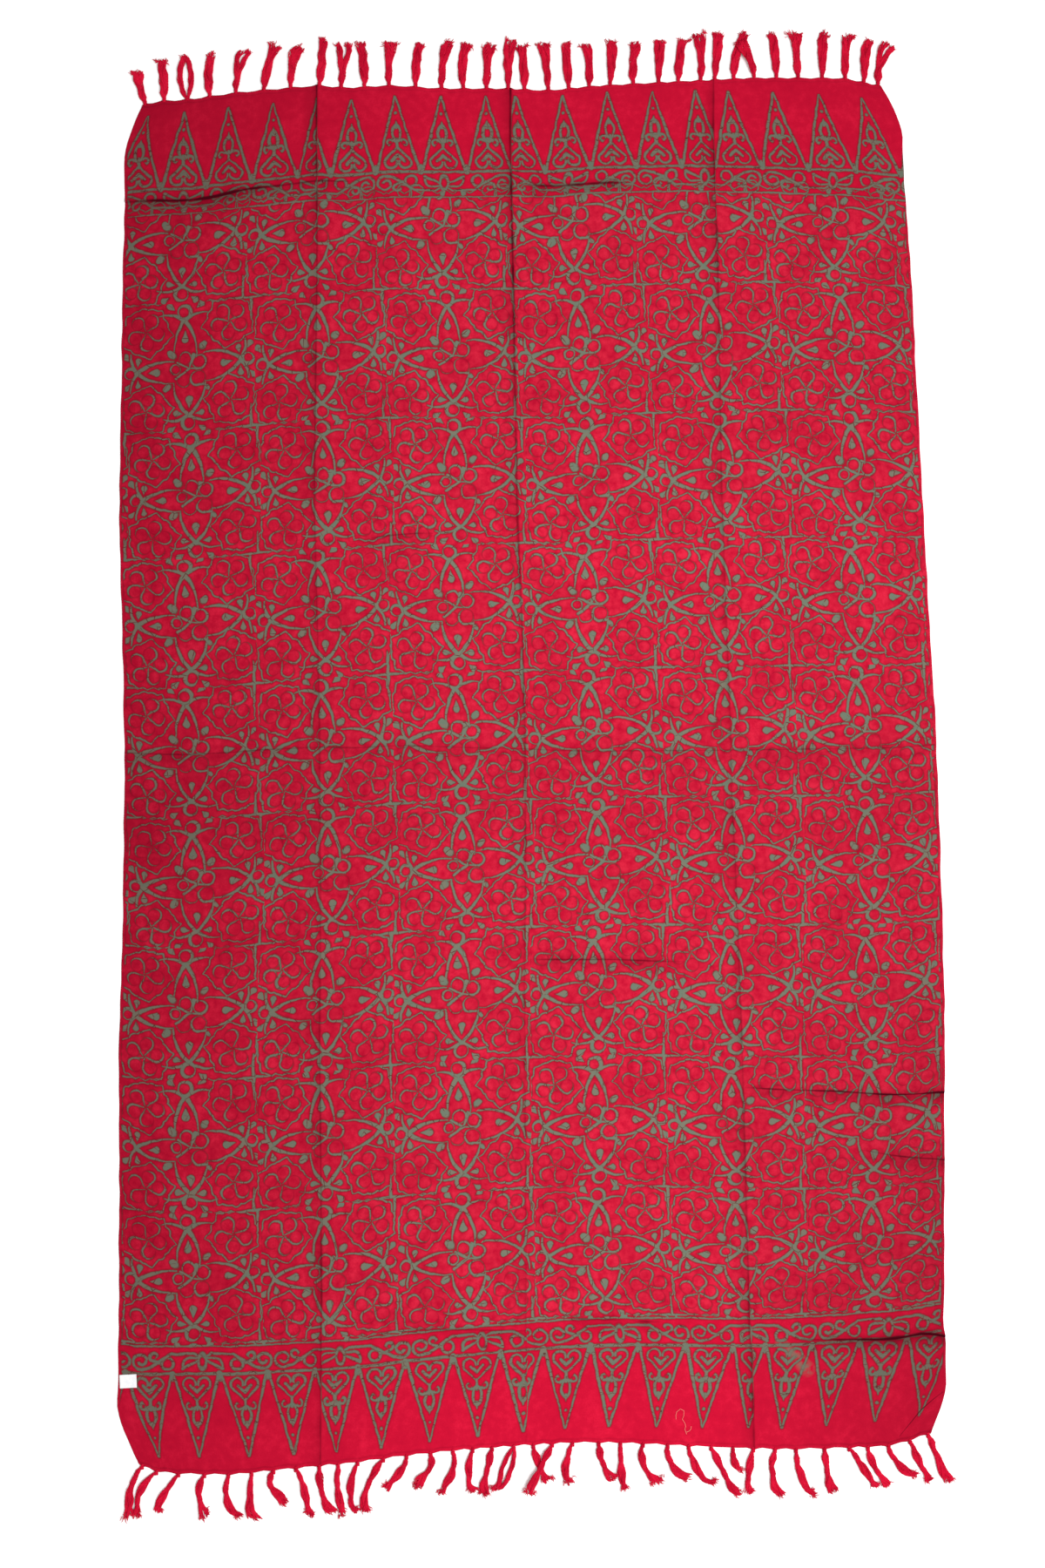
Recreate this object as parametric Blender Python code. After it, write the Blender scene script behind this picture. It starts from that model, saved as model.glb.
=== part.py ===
"""Batik sarong laid out flat.

One cut panel of thin rayon, with a fringe of tied yarn tassels along both
short ends and a small woven label sewn on near one corner.

+Z is up, and +Y runs along the cloth to its head end. Every size and place in
this file is in millimetres, and finish_solid turns each mesh into metres.
Places on the cloth are given in two ways:
  cut place   (across, along) on the flat cut panel, from its left selvedge
              and from its foot end
  laid place  (x, y, z), where that point of the panel lies on the ground
The underside lies on the plane z = 0, except where a crease lifts it.
"""

import math
from collections import namedtuple

import bmesh
import bpy
from mathutils import Matrix, Vector

METRES_PER_MM = 0.001

# ---- driving dimensions ----------------------------------------------------

CUT_WIDTH = 1105.0
CUT_LENGTH = 1860.0
CLOTH_WALL = 1.2
SEAM_GAP = 0.3

GRID_STEP = 66.0        # widest cell of the panel's mesh
CREASE_HALF_WIDTH = 9.0

HEM_STRIP = 5.0         # depth of the hem that the tassels are tied through
NECK_WIDTH = 5.0        # a tassel where it leaves the hem
NECK_LENGTH = 6.0
NECK_HEIGHT = 2.4
LOCK_WIDTH = 4.2
LOCK_HEIGHT = 2.2
TIP_HEIGHT = 1.4
TIP_CLEARANCE = 0.5     # under a lock's tip
LOCK_FILL = 0.8         # share of its room that a lock fills
LOCK_STATIONS = (0.36, 0.70, 1.0)

LABEL_LEFT = 2.0        # the label's edges on the cut panel
LABEL_WIDTH = 23.5
LABEL_FOOT = 97.0
LABEL_HEIGHT = 19.0
LABEL_WALL = 1.0

CORNER_SPREAD = 0.1     # share of the width that a pulled-in corner moves
CORNER_POWER = 1.5

# Where the two selvedges lie, at distances from the foot end.
Side = namedtuple("Side", "along left right")
SIDES = (
    Side(0, -540, 566),
    Side(110, -541, 566),
    Side(124, -541, 569),
    Side(138, -541, 564),
    Side(205, -541, 566),
    Side(375, -543, 569),
    Side(550, -546, 572),
    Side(750, -543, 570),
    Side(950, -544, 566),
    Side(1100, -549, 559),
    Side(1270, -556, 552),
    Side(1450, -556, 546),
    Side(1610, -556, 540),
    Side(1710, -555, 534),
    Side(1790, -556, 531),
    Side(1860, -556, 531),
)

# Where the two hemmed ends lie, at shares of the width.
End = namedtuple("End", "share foot head")
ENDS = (
    End(0.00, -908, 952),
    End(0.03, -918, 958),
    End(0.08, -921, 960),
    End(0.14, -922, 970),
    End(0.20, -915, 976),
    End(0.25, -910, 981),
    End(0.28, -907, 977),
    End(0.34, -898, 981),
    End(0.41, -890, 976),
    End(0.50, -883, 976),
    End(0.545, -880, 973),
    End(0.60, -880, 980),
    End(0.74, -887, 988),
    End(0.81, -889, 992),
    End(0.93, -885, 991),
    End(0.96, -879, 986),
    End(1.00, -867, 980),
)

# How far each corner is pulled in, and over what length of its selvedge.
Corner = namedtuple("Corner", "side end pull reach")
CORNERS = (
    Corner("left", "foot", 30, 110),
    Corner("left", "head", 25, 75),
    Corner("right", "foot", -21, 65),
    Corner("right", "head", -30, 75),
)

# Soft ridges left by folding and handling, from cut place to cut place.
Crease = namedtuple("Crease", "name across along to_across to_along height")
CREASES = (
    Crease("left_fold", 268, 0, 268, 1860, 1.6),
    Crease("middle_fold", 551, 0, 551, 1860, 2.2),
    Crease("right_fold", 839, 0, 839, 1860, 2.2),
    Crease("half_fold", 0, 956, 1105, 956, 1.4),
    Crease("head_left_tuck", -60, 1722, 270, 1722, 3.4),
    Crease("head_middle_tuck", 560, 1722, 725, 1722, 3.0),
    Crease("upper_pinch", 315, 1237, 450, 1237, 1.8),
    Crease("lower_pinch", 560, 642, 765, 642, 2.4),
    Crease("right_upper_tuck", 835, 468, 1170, 468, 2.4),
    Crease("right_lower_tuck", 910, 376, 1170, 376, 2.2),
    Crease("foot_middle_tuck", 385, 160, 560, 160, 2.4),
    Crease("foot_right_tuck", 900, 136, 1170, 136, 3.2),
)
CREASE_TAPER = 70.0     # length over which a ridge fades in

# A tassel leaves the hem at root, bows sideways by bow at half its reach, and
# ends lean to the side and reach away from the hem. Its locks' tips are splay
# apart in all, and lift is how high it passes over a neighbour.
Tassel = namedtuple("Tassel", "root bow lean reach locks splay lift")
HEAD_TASSELS = (
    Tassel(4, 1, 4, 48, 2, 20, 0),
    Tassel(44, -1, -4, 58, 2, 6, 0),
    Tassel(86, -3, -2, 63, 2, 7, 0),
    Tassel(120, -2, 2, 60, 2, 6, 0),
    Tassel(157, 3, 10, 60, 2, 17, 0),
    Tassel(197, 5, 16, 63, 2, 6, 0),
    Tassel(235, 2, 8, 59, 3, 9, 0),
    Tassel(276, 3, 5, 67, 2, 6, 0),
    Tassel(307, 2, 6, 63, 2, 20, 0),
    Tassel(340, -1, -7, 62, 2, 6, 0),
    Tassel(375, 0, 3, 62, 3, 9, 0),
    Tassel(413, 1, 5, 62, 2, 6, 0),
    Tassel(450, 2, 8, 66, 2, 6, 0),
    Tassel(481, -1, 3, 64, 2, 6, 0),
    Tassel(514, 1, 4, 62, 3, 9, 0),
    Tassel(545, 0, 2, 69, 2, 9, 0),
    Tassel(568, -1, -4, 62, 2, 5, 0),
    Tassel(602, -3, -6, 67, 2, 6, 0),
    Tassel(631, -2, -5, 64, 2, 6, 0),
    Tassel(660, 0, -3, 60, 2, 6, 0),
    Tassel(690, 2, 3, 63, 2, 6, 0),
    Tassel(723, 0, 5, 58, 3, 9, 0),
    Tassel(759, 1, 3, 60, 2, 6, 0),
    Tassel(787, 2, 5, 59, 2, 6, 0),
    Tassel(819, 1, -2, 66, 2, 8, 0),
    Tassel(839, 3, 6, 66, 2, 5, 0),
    Tassel(866, 4, 17, 67, 2, 6, 0),
    Tassel(895, -6, -20, 50, 2, 6, 4),
    Tassel(927, -2, -5, 64, 2, 6, 0),
    Tassel(958, -2, -2, 64, 3, 9, 0),
    Tassel(992, 1, 0, 64, 2, 6, 0),
    Tassel(1030, 0, 3, 62, 2, 6, 0),
    Tassel(1067, 2, 5, 60, 2, 6, 0),
    Tassel(1100, 3, 15, 59, 2, 18, 0),
)
FOOT_TASSELS = (
    Tassel(5, -15, -15, 65, 3, 9, 0),
    Tassel(36, -22, -22, 58, 2, 6, 0),
    Tassel(77, -16, -31, 47, 2, 6, 0),
    Tassel(116, -7, 4, 54, 2, 9, 0),
    Tassel(148, -2, 10, 57, 2, 6, 0),
    Tassel(179, -2, -1, 60, 2, 13, 0),
    Tassel(208, -3, 18, 40, 2, 6, 0),
    Tassel(238, 12, 17, 60, 2, 6, 0),
    Tassel(269, 3, 15, 62, 3, 9, 0),
    Tassel(294, 0, 7, 65, 2, 5, 0),
    Tassel(320, -9, -6, 66, 2, 5, 0),
    Tassel(354, -20, -27, 69, 2, 5, 0),
    Tassel(385, -7, -28, 40, 2, 6, 0),
    Tassel(417, -1, -20, 39, 3, 9, 0),
    Tassel(447, 0, -17, 51, 2, 6, 0),
    Tassel(473, -5, -2, 56, 2, 7, 0),
    Tassel(499, -7, -13, 60, 2, 6, 0),
    Tassel(528, -9, -19, 58, 2, 6, 0),
    Tassel(554, 6, 19, 48, 2, 5, 0),
    Tassel(579, -16, -33, 63, 2, 5, 4),
    Tassel(606, -8, -9, 52, 2, 9, 0),
    Tassel(641, 5, 17, 49, 2, 6, 0),
    Tassel(670, 1, 4, 60, 2, 6, 0),
    Tassel(700, 0, 19, 51, 3, 9, 0),
    Tassel(733, 4, 26, 46, 2, 6, 0),
    Tassel(761, 9, 29, 53, 2, 6, 0),
    Tassel(791, 16, 33, 64, 2, 6, 0),
    Tassel(820, 1, 8, 30, 2, 5, 0),
    Tassel(847, -6, -7, 58, 2, 6, 0),
    Tassel(876, -4, 4, 62, 2, 6, 0),
    Tassel(904, 5, 19, 61, 3, 9, 0),
    Tassel(942, 3, 9, 56, 2, 6, 0),
    Tassel(975, 18, 35, 52, 2, 6, 0),
    Tassel(1000, 8, 27, 49, 2, 6, 0),
    Tassel(1031, 9, 33, 40, 2, 6, 0),
    Tassel(1067, 11, 26, 52, 2, 6, 0),
    Tassel(1100, 12, 24, 62, 2, 12, 0),
)


# ---- where the panel lies ---------------------------------------------------

def along_table(rows, place, value):
    """A column's value between two rows of a table whose first column rises."""
    for low, high in zip(rows, rows[1:]):
        if place <= high[0]:
            share = (place - low[0]) / (high[0] - low[0])
            return getattr(low, value) * (1 - share) + getattr(high, value) * share
    return getattr(rows[-1], value)


def corner_pull(across, along):
    """Sideways shift near the corners, where the selvedges draw in."""
    pull = 0.0
    for corner in CORNERS:
        from_side = across if corner.side == "left" else CUT_WIDTH - across
        from_end = along if corner.end == "foot" else CUT_LENGTH - along
        inward = max(0.0, 1 - from_side / (CORNER_SPREAD * CUT_WIDTH))
        lengthwise = max(0.0, 1 - from_end / corner.reach)
        pull += corner.pull * (inward * lengthwise) ** CORNER_POWER
    return pull


def crease_height(across, along):
    """Height of the underside over the ground: the tallest ridge passing here."""
    height = 0.0
    for crease in CREASES:
        start = Vector((crease.across, crease.along))
        run = Vector((crease.to_across, crease.to_along)) - start
        offset = Vector((across, along)) - start
        travelled = offset.dot(run.normalized())
        aside = abs(offset.cross(run.normalized())) / CREASE_HALF_WIDTH
        nearest_end = min(travelled, run.length - travelled)
        runs_off_panel = run.length > CUT_WIDTH - 1
        fade = 1.0 if runs_off_panel else min(1.0, nearest_end / CREASE_TAPER)
        if aside < 1 and fade > 0:
            height = max(height, crease.height * fade * (1 - aside * aside) ** 2)
    return height


def laid_place(across, along):
    """The laid place, in millimetres, of a cut place."""
    share_across = across / CUT_WIDTH
    share_along = along / CUT_LENGTH
    left = along_table(SIDES, along, "left")
    right = along_table(SIDES, along, "right")
    foot = along_table(ENDS, share_across, "foot")
    head = along_table(ENDS, share_across, "head")
    x = left + (right - left) * share_across + corner_pull(across, along)
    y = foot + (head - foot) * share_along
    return Vector((x, y, crease_height(across, along)))


def stations(first, last, creases):
    """Grid lines from first to last: one each side of every crease and on it."""
    marks = {first, last}
    for crease in creases:
        marks.update(crease + side * CREASE_HALF_WIDTH for side in (-1, 0, 1))
    marks = sorted(mark for mark in marks if first <= mark <= last)
    lines = [first]
    for mark in marks[1:]:
        cells = math.ceil((mark - lines[-1]) / GRID_STEP)
        step = (mark - lines[-1]) / cells
        lines += [lines[-1] + step * cell for cell in range(1, cells)] + [mark]
    return lines


def panel_columns():
    lengthwise = [crease.across for crease in CREASES if crease.across == crease.to_across]
    return stations(0.0, CUT_WIDTH, lengthwise)


def panel_rows():
    crosswise = [crease.along for crease in CREASES if crease.along == crease.to_along]
    end = HEM_STRIP + SEAM_GAP
    return stations(end, CUT_LENGTH - end, crosswise)


# ---- solids -----------------------------------------------------------------

def finish_solid(name, bm, color, roughness):
    """Turns a closed bmesh in millimetres into a named object in metres."""
    bmesh.ops.scale(bm, vec=Vector.Fill(3, METRES_PER_MM), verts=bm.verts)
    bmesh.ops.recalc_face_normals(bm, faces=bm.faces)
    mesh = bpy.data.meshes.new(name)
    bm.to_mesh(mesh)
    bm.free()
    solid = bpy.data.objects.new(name, mesh)
    bpy.context.scene.collection.objects.link(solid)
    material = bpy.data.materials.new(name + "_material")
    material.use_nodes = True
    shader = material.node_tree.nodes["Principled BSDF"]
    shader.inputs["Base Color"].default_value = (*color, 1.0)
    shader.inputs["Roughness"].default_value = roughness
    material.diffuse_color = (*color, 1.0)
    mesh.materials.append(material)
    return solid


def sheet_of_cloth(columns, rows, lift, wall):
    """A wall on the laid panel over a grid of cut places, raised by lift."""
    bm = bmesh.new()
    bmesh.ops.create_grid(
        bm, x_segments=len(columns) - 1, y_segments=len(rows) - 1, size=0.5)
    for vert in bm.verts:
        column = round((vert.co.x + 0.5) * (len(columns) - 1))
        row = round((vert.co.y + 0.5) * (len(rows) - 1))
        vert.co = laid_place(columns[column], rows[row]) + Vector((0, 0, lift))
    bmesh.ops.triangulate(bm, faces=bm.faces)
    raised = bmesh.ops.extrude_face_region(bm, geom=bm.faces[:], use_keep_orig=True)
    top = [item for item in raised["geom"] if isinstance(item, bmesh.types.BMVert)]
    bmesh.ops.translate(bm, vec=Vector((0, 0, wall)), verts=top)
    return bm


def make_cloth():
    bm = sheet_of_cloth(panel_columns(), panel_rows(), 0.0, CLOTH_WALL)
    return finish_solid("cloth", bm, (0.62, 0.012, 0.035), 0.7)


def make_label():
    columns = [LABEL_LEFT + LABEL_WIDTH * part / 2 for part in range(3)]
    rows = [LABEL_FOOT + LABEL_HEIGHT * part / 2 for part in range(3)]
    bm = sheet_of_cloth(columns, rows, CLOTH_WALL + SEAM_GAP, LABEL_WALL)
    return finish_solid("label", bm, (0.85, 0.85, 0.83), 0.6)


def extrude_face(bm, face, corners):
    """Extrudes one face and moves its new corners, in the face's own order."""
    new_face = bmesh.ops.extrude_discrete_faces(bm, faces=[face])["faces"][0]
    for vert, corner in zip(new_face.verts, corners):
        vert.co = corner
    return new_face


def on_facets(columns, across, along):
    """The laid place on the panel's own facets, straight from column to column."""
    for low, high in zip(columns, columns[1:]):
        if across <= high:
            share = (across - low) / (high - low)
            return laid_place(low, along).lerp(laid_place(high, along), share)
    return laid_place(columns[-1], along)


def hem_marks(tassels):
    """Places across the hem where its strip needs a section, and each neck's first one."""
    neck_starts = {tassel.root - NECK_WIDTH / 2: tassel for tassel in tassels}
    marks = set(neck_starts) | {start + NECK_WIDTH for start in neck_starts}
    for column in panel_columns():
        if not any(start < column < start + NECK_WIDTH for start in neck_starts):
            marks.add(column)
    return sorted(marks), neck_starts


def hem_strip(bm, marks, outer, inner):
    """A closed strip along the hem. Returns the outer face that starts at each mark."""
    columns = panel_columns()
    up = Vector((0, 0, CLOTH_WALL))

    def section(mark):
        outside = on_facets(columns, mark, outer)
        inside = on_facets(columns, mark, inner)
        return [outside, inside, inside + up, outside + up]

    end = bm.faces.new([bm.verts.new(corner) for corner in section(marks[0])])
    first_edges = end.edges[:]
    outer_faces = {}
    for mark, next_mark in zip(marks, marks[1:]):
        behind = end.verts[:]
        end = extrude_face(bm, end, section(next_mark))
        outer_corners = {behind[0], behind[3], end.verts[0], end.verts[3]}
        outer_faces[mark] = next(
            face for face in behind[0].link_faces if set(face.verts) == outer_corners)
    bmesh.ops.contextual_create(bm, geom=first_edges)
    return outer_faces


def ring(face, centre, aside, width, height):
    """Four corners round a centre, matched to a face's corners by side and level."""
    matched = {}
    across = sorted(face.verts, key=lambda vert: vert.co.dot(aside))
    for side, pair in ((-1, across[:2]), (1, across[2:])):
        for level, vert in zip((-1, 1), sorted(pair, key=lambda vert: vert.co.z)):
            up = Vector((0, 0, level * height / 2))
            matched[vert] = centre + aside * side * width / 2 + up
    return [matched[vert] for vert in face.verts]


def middle_line(tassel, root, away, share):
    """A tassel's middle line in plan: a parabola through its root, bow and tip."""
    bulge = (tassel.bow - tassel.lean / 2) * 4 * share * (1 - share)
    return Vector((root.x + tassel.lean * share + bulge, root.y + away * tassel.reach * share, 0))


def part_neck(bm, neck, locks):
    """Splits a neck's end face into one face for each lock, from left to right."""
    level_edges = [edge for edge in neck.edges
                   if abs(edge.verts[0].co.z - edge.verts[1].co.z) < NECK_HEIGHT / 2]
    split = bmesh.ops.bisect_edges(bm, edges=level_edges, cuts=locks - 1)["geom_split"]
    cuts = [item for item in split if isinstance(item, bmesh.types.BMVert)]
    cuts.sort(key=lambda vert: vert.co.x)
    ends = [neck]
    for first, second in zip(cuts[0::2], cuts[1::2]):
        whole = next(face for face in ends if first in face.verts and second in face.verts)
        ends.append(bmesh.utils.face_split(whole, first, second)[0])
    return sorted(ends, key=lambda face: face.calc_center_median().x)


def grow_lock(bm, face, tassel, root, away, place):
    """Extrudes one lock, from its face on the neck; place is -0.5 to 0.5 across."""
    neck_share = NECK_LENGTH / tassel.reach
    first_spread = NECK_WIDTH * (tassel.locks - 1) / tassel.locks
    for station in LOCK_STATIONS:
        share = neck_share + (1 - neck_share) * station
        centre = middle_line(tassel, root, away, share)
        forward = (centre - middle_line(tassel, root, away, share - 0.05)).normalized()
        aside = Vector((abs(forward.y), -forward.x * away, 0))
        spread = first_spread + (tassel.splay - first_spread) * station
        height = LOCK_HEIGHT + (TIP_HEIGHT - LOCK_HEIGHT) * station
        centre += aside * place * spread
        centre.z = TIP_CLEARANCE + height / 2 + tassel.lift
        width = min(LOCK_WIDTH, LOCK_FILL * spread / (tassel.locks - 1))
        face = extrude_face(bm, face, ring(face, centre, aside, width, height))


def grow_tassel(bm, face, tassel, root, away):
    """A neck out of the hem's outer face, parted into locks at its end."""
    centre = middle_line(tassel, root, away, NECK_LENGTH / tassel.reach)
    centre.z = TIP_CLEARANCE + NECK_HEIGHT / 2
    aside = Vector((1, 0, 0))
    neck = extrude_face(bm, face, ring(face, centre, aside, NECK_WIDTH, NECK_HEIGHT))
    for number, end in enumerate(part_neck(bm, neck, tassel.locks)):
        grow_lock(bm, end, tassel, root, away, number / (tassel.locks - 1) - 0.5)


def make_fringe(name, tassels, outer, inner, away):
    """One hem strip with its tassels; away is -1 at the foot and 1 at the head."""
    bm = bmesh.new()
    marks, neck_starts = hem_marks(tassels)
    outer_faces = hem_strip(bm, marks, outer, inner)
    for start, tassel in neck_starts.items():
        root = outer_faces[start].calc_center_median()
        grow_tassel(bm, outer_faces[start], tassel, root, away)
    return finish_solid(name, bm, (0.58, 0.008, 0.03), 0.85)


def stand_on_origin(solids):
    """Moves every mesh so that the middle of the whole part's base is the origin."""
    points = [vert.co for solid in solids for vert in solid.data.vertices]
    low = Vector([min(point[axis] for point in points) for axis in range(3)])
    high = Vector([max(point[axis] for point in points) for axis in range(3)])
    shift = Matrix.Translation((-(low.x + high.x) / 2, -(low.y + high.y) / 2, -low.z))
    for solid in solids:
        solid.data.transform(shift)


def main():
    for old in list(bpy.data.objects):
        bpy.data.objects.remove(old)
    solids = [
        make_cloth(),
        make_label(),
        make_fringe("fringe_top", HEAD_TASSELS, CUT_LENGTH, CUT_LENGTH - HEM_STRIP, 1),
        make_fringe("fringe_bottom", FOOT_TASSELS, 0, HEM_STRIP, -1),
    ]
    stand_on_origin(solids)


main()
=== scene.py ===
# %% [markdown]
# # A batik sarong, laid out flat
#
# This lesson dresses a plain model of a batik sarong: one panel of thin rayon, printed with hot
# wax and dyed red, with yarn tassels tied along both short ends. The plain model holds the real
# sizes. The pieces made here take its place, so each one is worked out on the same flat panel.

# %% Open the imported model
import math
import random
from collections import namedtuple

import bmesh
import bpy
from mathutils import Matrix, Vector, noise


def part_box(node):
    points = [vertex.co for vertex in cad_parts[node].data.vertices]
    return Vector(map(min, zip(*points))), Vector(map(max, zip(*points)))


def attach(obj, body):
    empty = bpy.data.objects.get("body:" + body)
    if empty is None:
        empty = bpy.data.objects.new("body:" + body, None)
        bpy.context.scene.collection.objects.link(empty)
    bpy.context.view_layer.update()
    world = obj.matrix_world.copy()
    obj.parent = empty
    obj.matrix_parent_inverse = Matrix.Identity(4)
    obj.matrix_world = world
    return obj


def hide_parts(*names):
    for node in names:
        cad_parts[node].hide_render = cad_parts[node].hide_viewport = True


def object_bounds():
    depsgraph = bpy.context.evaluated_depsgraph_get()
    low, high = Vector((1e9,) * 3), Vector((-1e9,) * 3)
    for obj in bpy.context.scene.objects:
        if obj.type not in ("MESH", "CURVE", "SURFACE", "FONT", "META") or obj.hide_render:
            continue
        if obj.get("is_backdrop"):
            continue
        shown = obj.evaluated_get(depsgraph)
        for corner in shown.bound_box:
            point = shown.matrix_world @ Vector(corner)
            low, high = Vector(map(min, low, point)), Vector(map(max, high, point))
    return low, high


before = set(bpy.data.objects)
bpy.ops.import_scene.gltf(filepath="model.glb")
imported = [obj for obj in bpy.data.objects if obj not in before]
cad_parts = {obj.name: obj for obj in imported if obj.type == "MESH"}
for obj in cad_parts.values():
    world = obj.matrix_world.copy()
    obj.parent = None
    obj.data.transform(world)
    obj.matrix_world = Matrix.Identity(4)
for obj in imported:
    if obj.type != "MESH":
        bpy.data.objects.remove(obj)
cad_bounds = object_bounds()
print("plain model:", [[round(edge, 4) for edge in corner] for corner in cad_bounds])

# %% [markdown]
# ## How the panel lies
#
# A tailor knows a cloth by its cut: how far across and how far along a point is. On the ground
# the same point has a place x, y, z. The tables below say where the edges of the panel lie, so
# a function can turn any cut place into a laid place. They are in millimetres and follow the
# plain model's own, but here their corners are rounded, because cloth has none.

# %% Sizes and tables of the laid panel
MM = 0.001

CUT_WIDTH = 1105.0
CUT_LENGTH = 1860.0
HEM_STRIP = 5.0

# Where the two selvedges lie, by the place along the cloth.
Side = namedtuple("Side", "along left right")
SIDES = [Side(*row) for row in (
    (0, -540, 566), (110, -541, 566), (124, -541, 569), (138, -541, 564), (205, -541, 566),
    (375, -543, 569), (550, -546, 572), (750, -543, 570), (950, -544, 566), (1100, -549, 559),
    (1270, -556, 552), (1450, -556, 546), (1610, -556, 540), (1710, -555, 534), (1790, -556, 531),
    (1860, -556, 531),
)]

# Where the two ends lie, by the share of the width.
End = namedtuple("End", "share foot head")
ENDS = [End(*row) for row in (
    (0.00, -908, 952), (0.03, -918, 958), (0.08, -921, 960), (0.14, -922, 970), (0.20, -915, 976),
    (0.25, -910, 981), (0.28, -907, 977), (0.34, -898, 981), (0.41, -890, 976), (0.50, -883, 976),
    (0.545, -880, 973), (0.60, -880, 980), (0.74, -887, 988), (0.81, -889, 992), (0.93, -885, 991),
    (0.96, -879, 986), (1.00, -867, 980),
)]
print("cut size:", CUT_WIDTH, "x", CUT_LENGTH, "mm")


# %% Read a table and round its corners
SIDE_SPREAD = 12        # how widely the corners of each table are rounded
END_SPREAD = 14
LOOKS = (-1.0, -0.6, -0.2, 0.2, 0.6, 1.0)


def from_table(rows, place, value):
    """A column's value between two rows of a table whose first column rises."""
    for low, high in zip(rows, rows[1:]):
        if place <= high[0]:
            share = (place - low[0]) / (high[0] - low[0])
            return getattr(low, value) * (1 - share) + getattr(high, value) * share
    return getattr(rows[-1], value)


def rounded_column(rows, value, length, spread):
    """The column at every millimetre of length, with its corners rounded over spread."""
    stretch = rows[-1][0] / length
    column = []
    for step in range(int(length) + 2):
        places = [min(max((step + look * spread) * stretch, 0), rows[-1][0]) for look in LOOKS]
        column.append(sum(from_table(rows, place, value) for place in places) / len(LOOKS))
    return column


def at(column, place):
    """A column's value between its whole millimetres."""
    place = min(max(place, 0.0), len(column) - 1.001)
    whole = int(place)
    return column[whole] + (column[whole + 1] - column[whole]) * (place - whole)


LEFT, RIGHT = (
    rounded_column(SIDES, side, CUT_LENGTH, SIDE_SPREAD) for side in ("left", "right"))
FOOT, HEAD = (
    rounded_column(ENDS, end, CUT_WIDTH, END_SPREAD) for end in ("foot", "head"))
print("widest:", round(max(right - left for left, right in zip(LEFT, RIGHT)), 1), "mm")

# %% From a cut place to a laid place
CORNER_SPREAD = 0.1     # the share of the width that a corner's pull reaches
CORNER_POWER = 1.6
Corner = namedtuple("Corner", "side end pull reach")
CORNERS = (
    Corner("left", "foot", 30, 80),
    Corner("left", "head", 25, 75),
    Corner("right", "foot", -21, 65),
    Corner("right", "head", -30, 75),
)


def corner_pull(across, along):
    """Sideways shift near the corners, where the selvedges draw in."""
    pull = 0.0
    for corner in CORNERS:
        from_side = across if corner.side == "left" else CUT_WIDTH - across
        from_end = along if corner.end == "foot" else CUT_LENGTH - along
        inward = max(0.0, 1 - from_side / (CORNER_SPREAD * CUT_WIDTH))
        lengthwise = max(0.0, 1 - from_end / corner.reach)
        pull += corner.pull * (inward * lengthwise) ** CORNER_POWER
    return pull


def plain_place(across, along):
    """Laid x and y before the plain model was centred, in millimetres."""
    left, right = at(LEFT, along), at(RIGHT, along)
    foot, head = at(FOOT, across), at(HEAD, across)
    x = left + (right - left) * across / CUT_WIDTH + corner_pull(across, along)
    return Vector((x, foot + (head - foot) * along / CUT_LENGTH))


# The label's box shows how far the plain model was moved to stand on its origin.
LABEL_LEFT = 2.0
LABEL_WIDTH = 23.5
LABEL_FOOT = 97.0
LABEL_HEIGHT = 19.0
label_low, label_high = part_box("label")
label_middle = plain_place(LABEL_LEFT + LABEL_WIDTH / 2, LABEL_FOOT + LABEL_HEIGHT / 2)
CENTRING = (label_low + label_high).xy / 2 / MM - label_middle
print("the plain model was moved by", [round(part, 2) for part in CENTRING], "mm")
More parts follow.
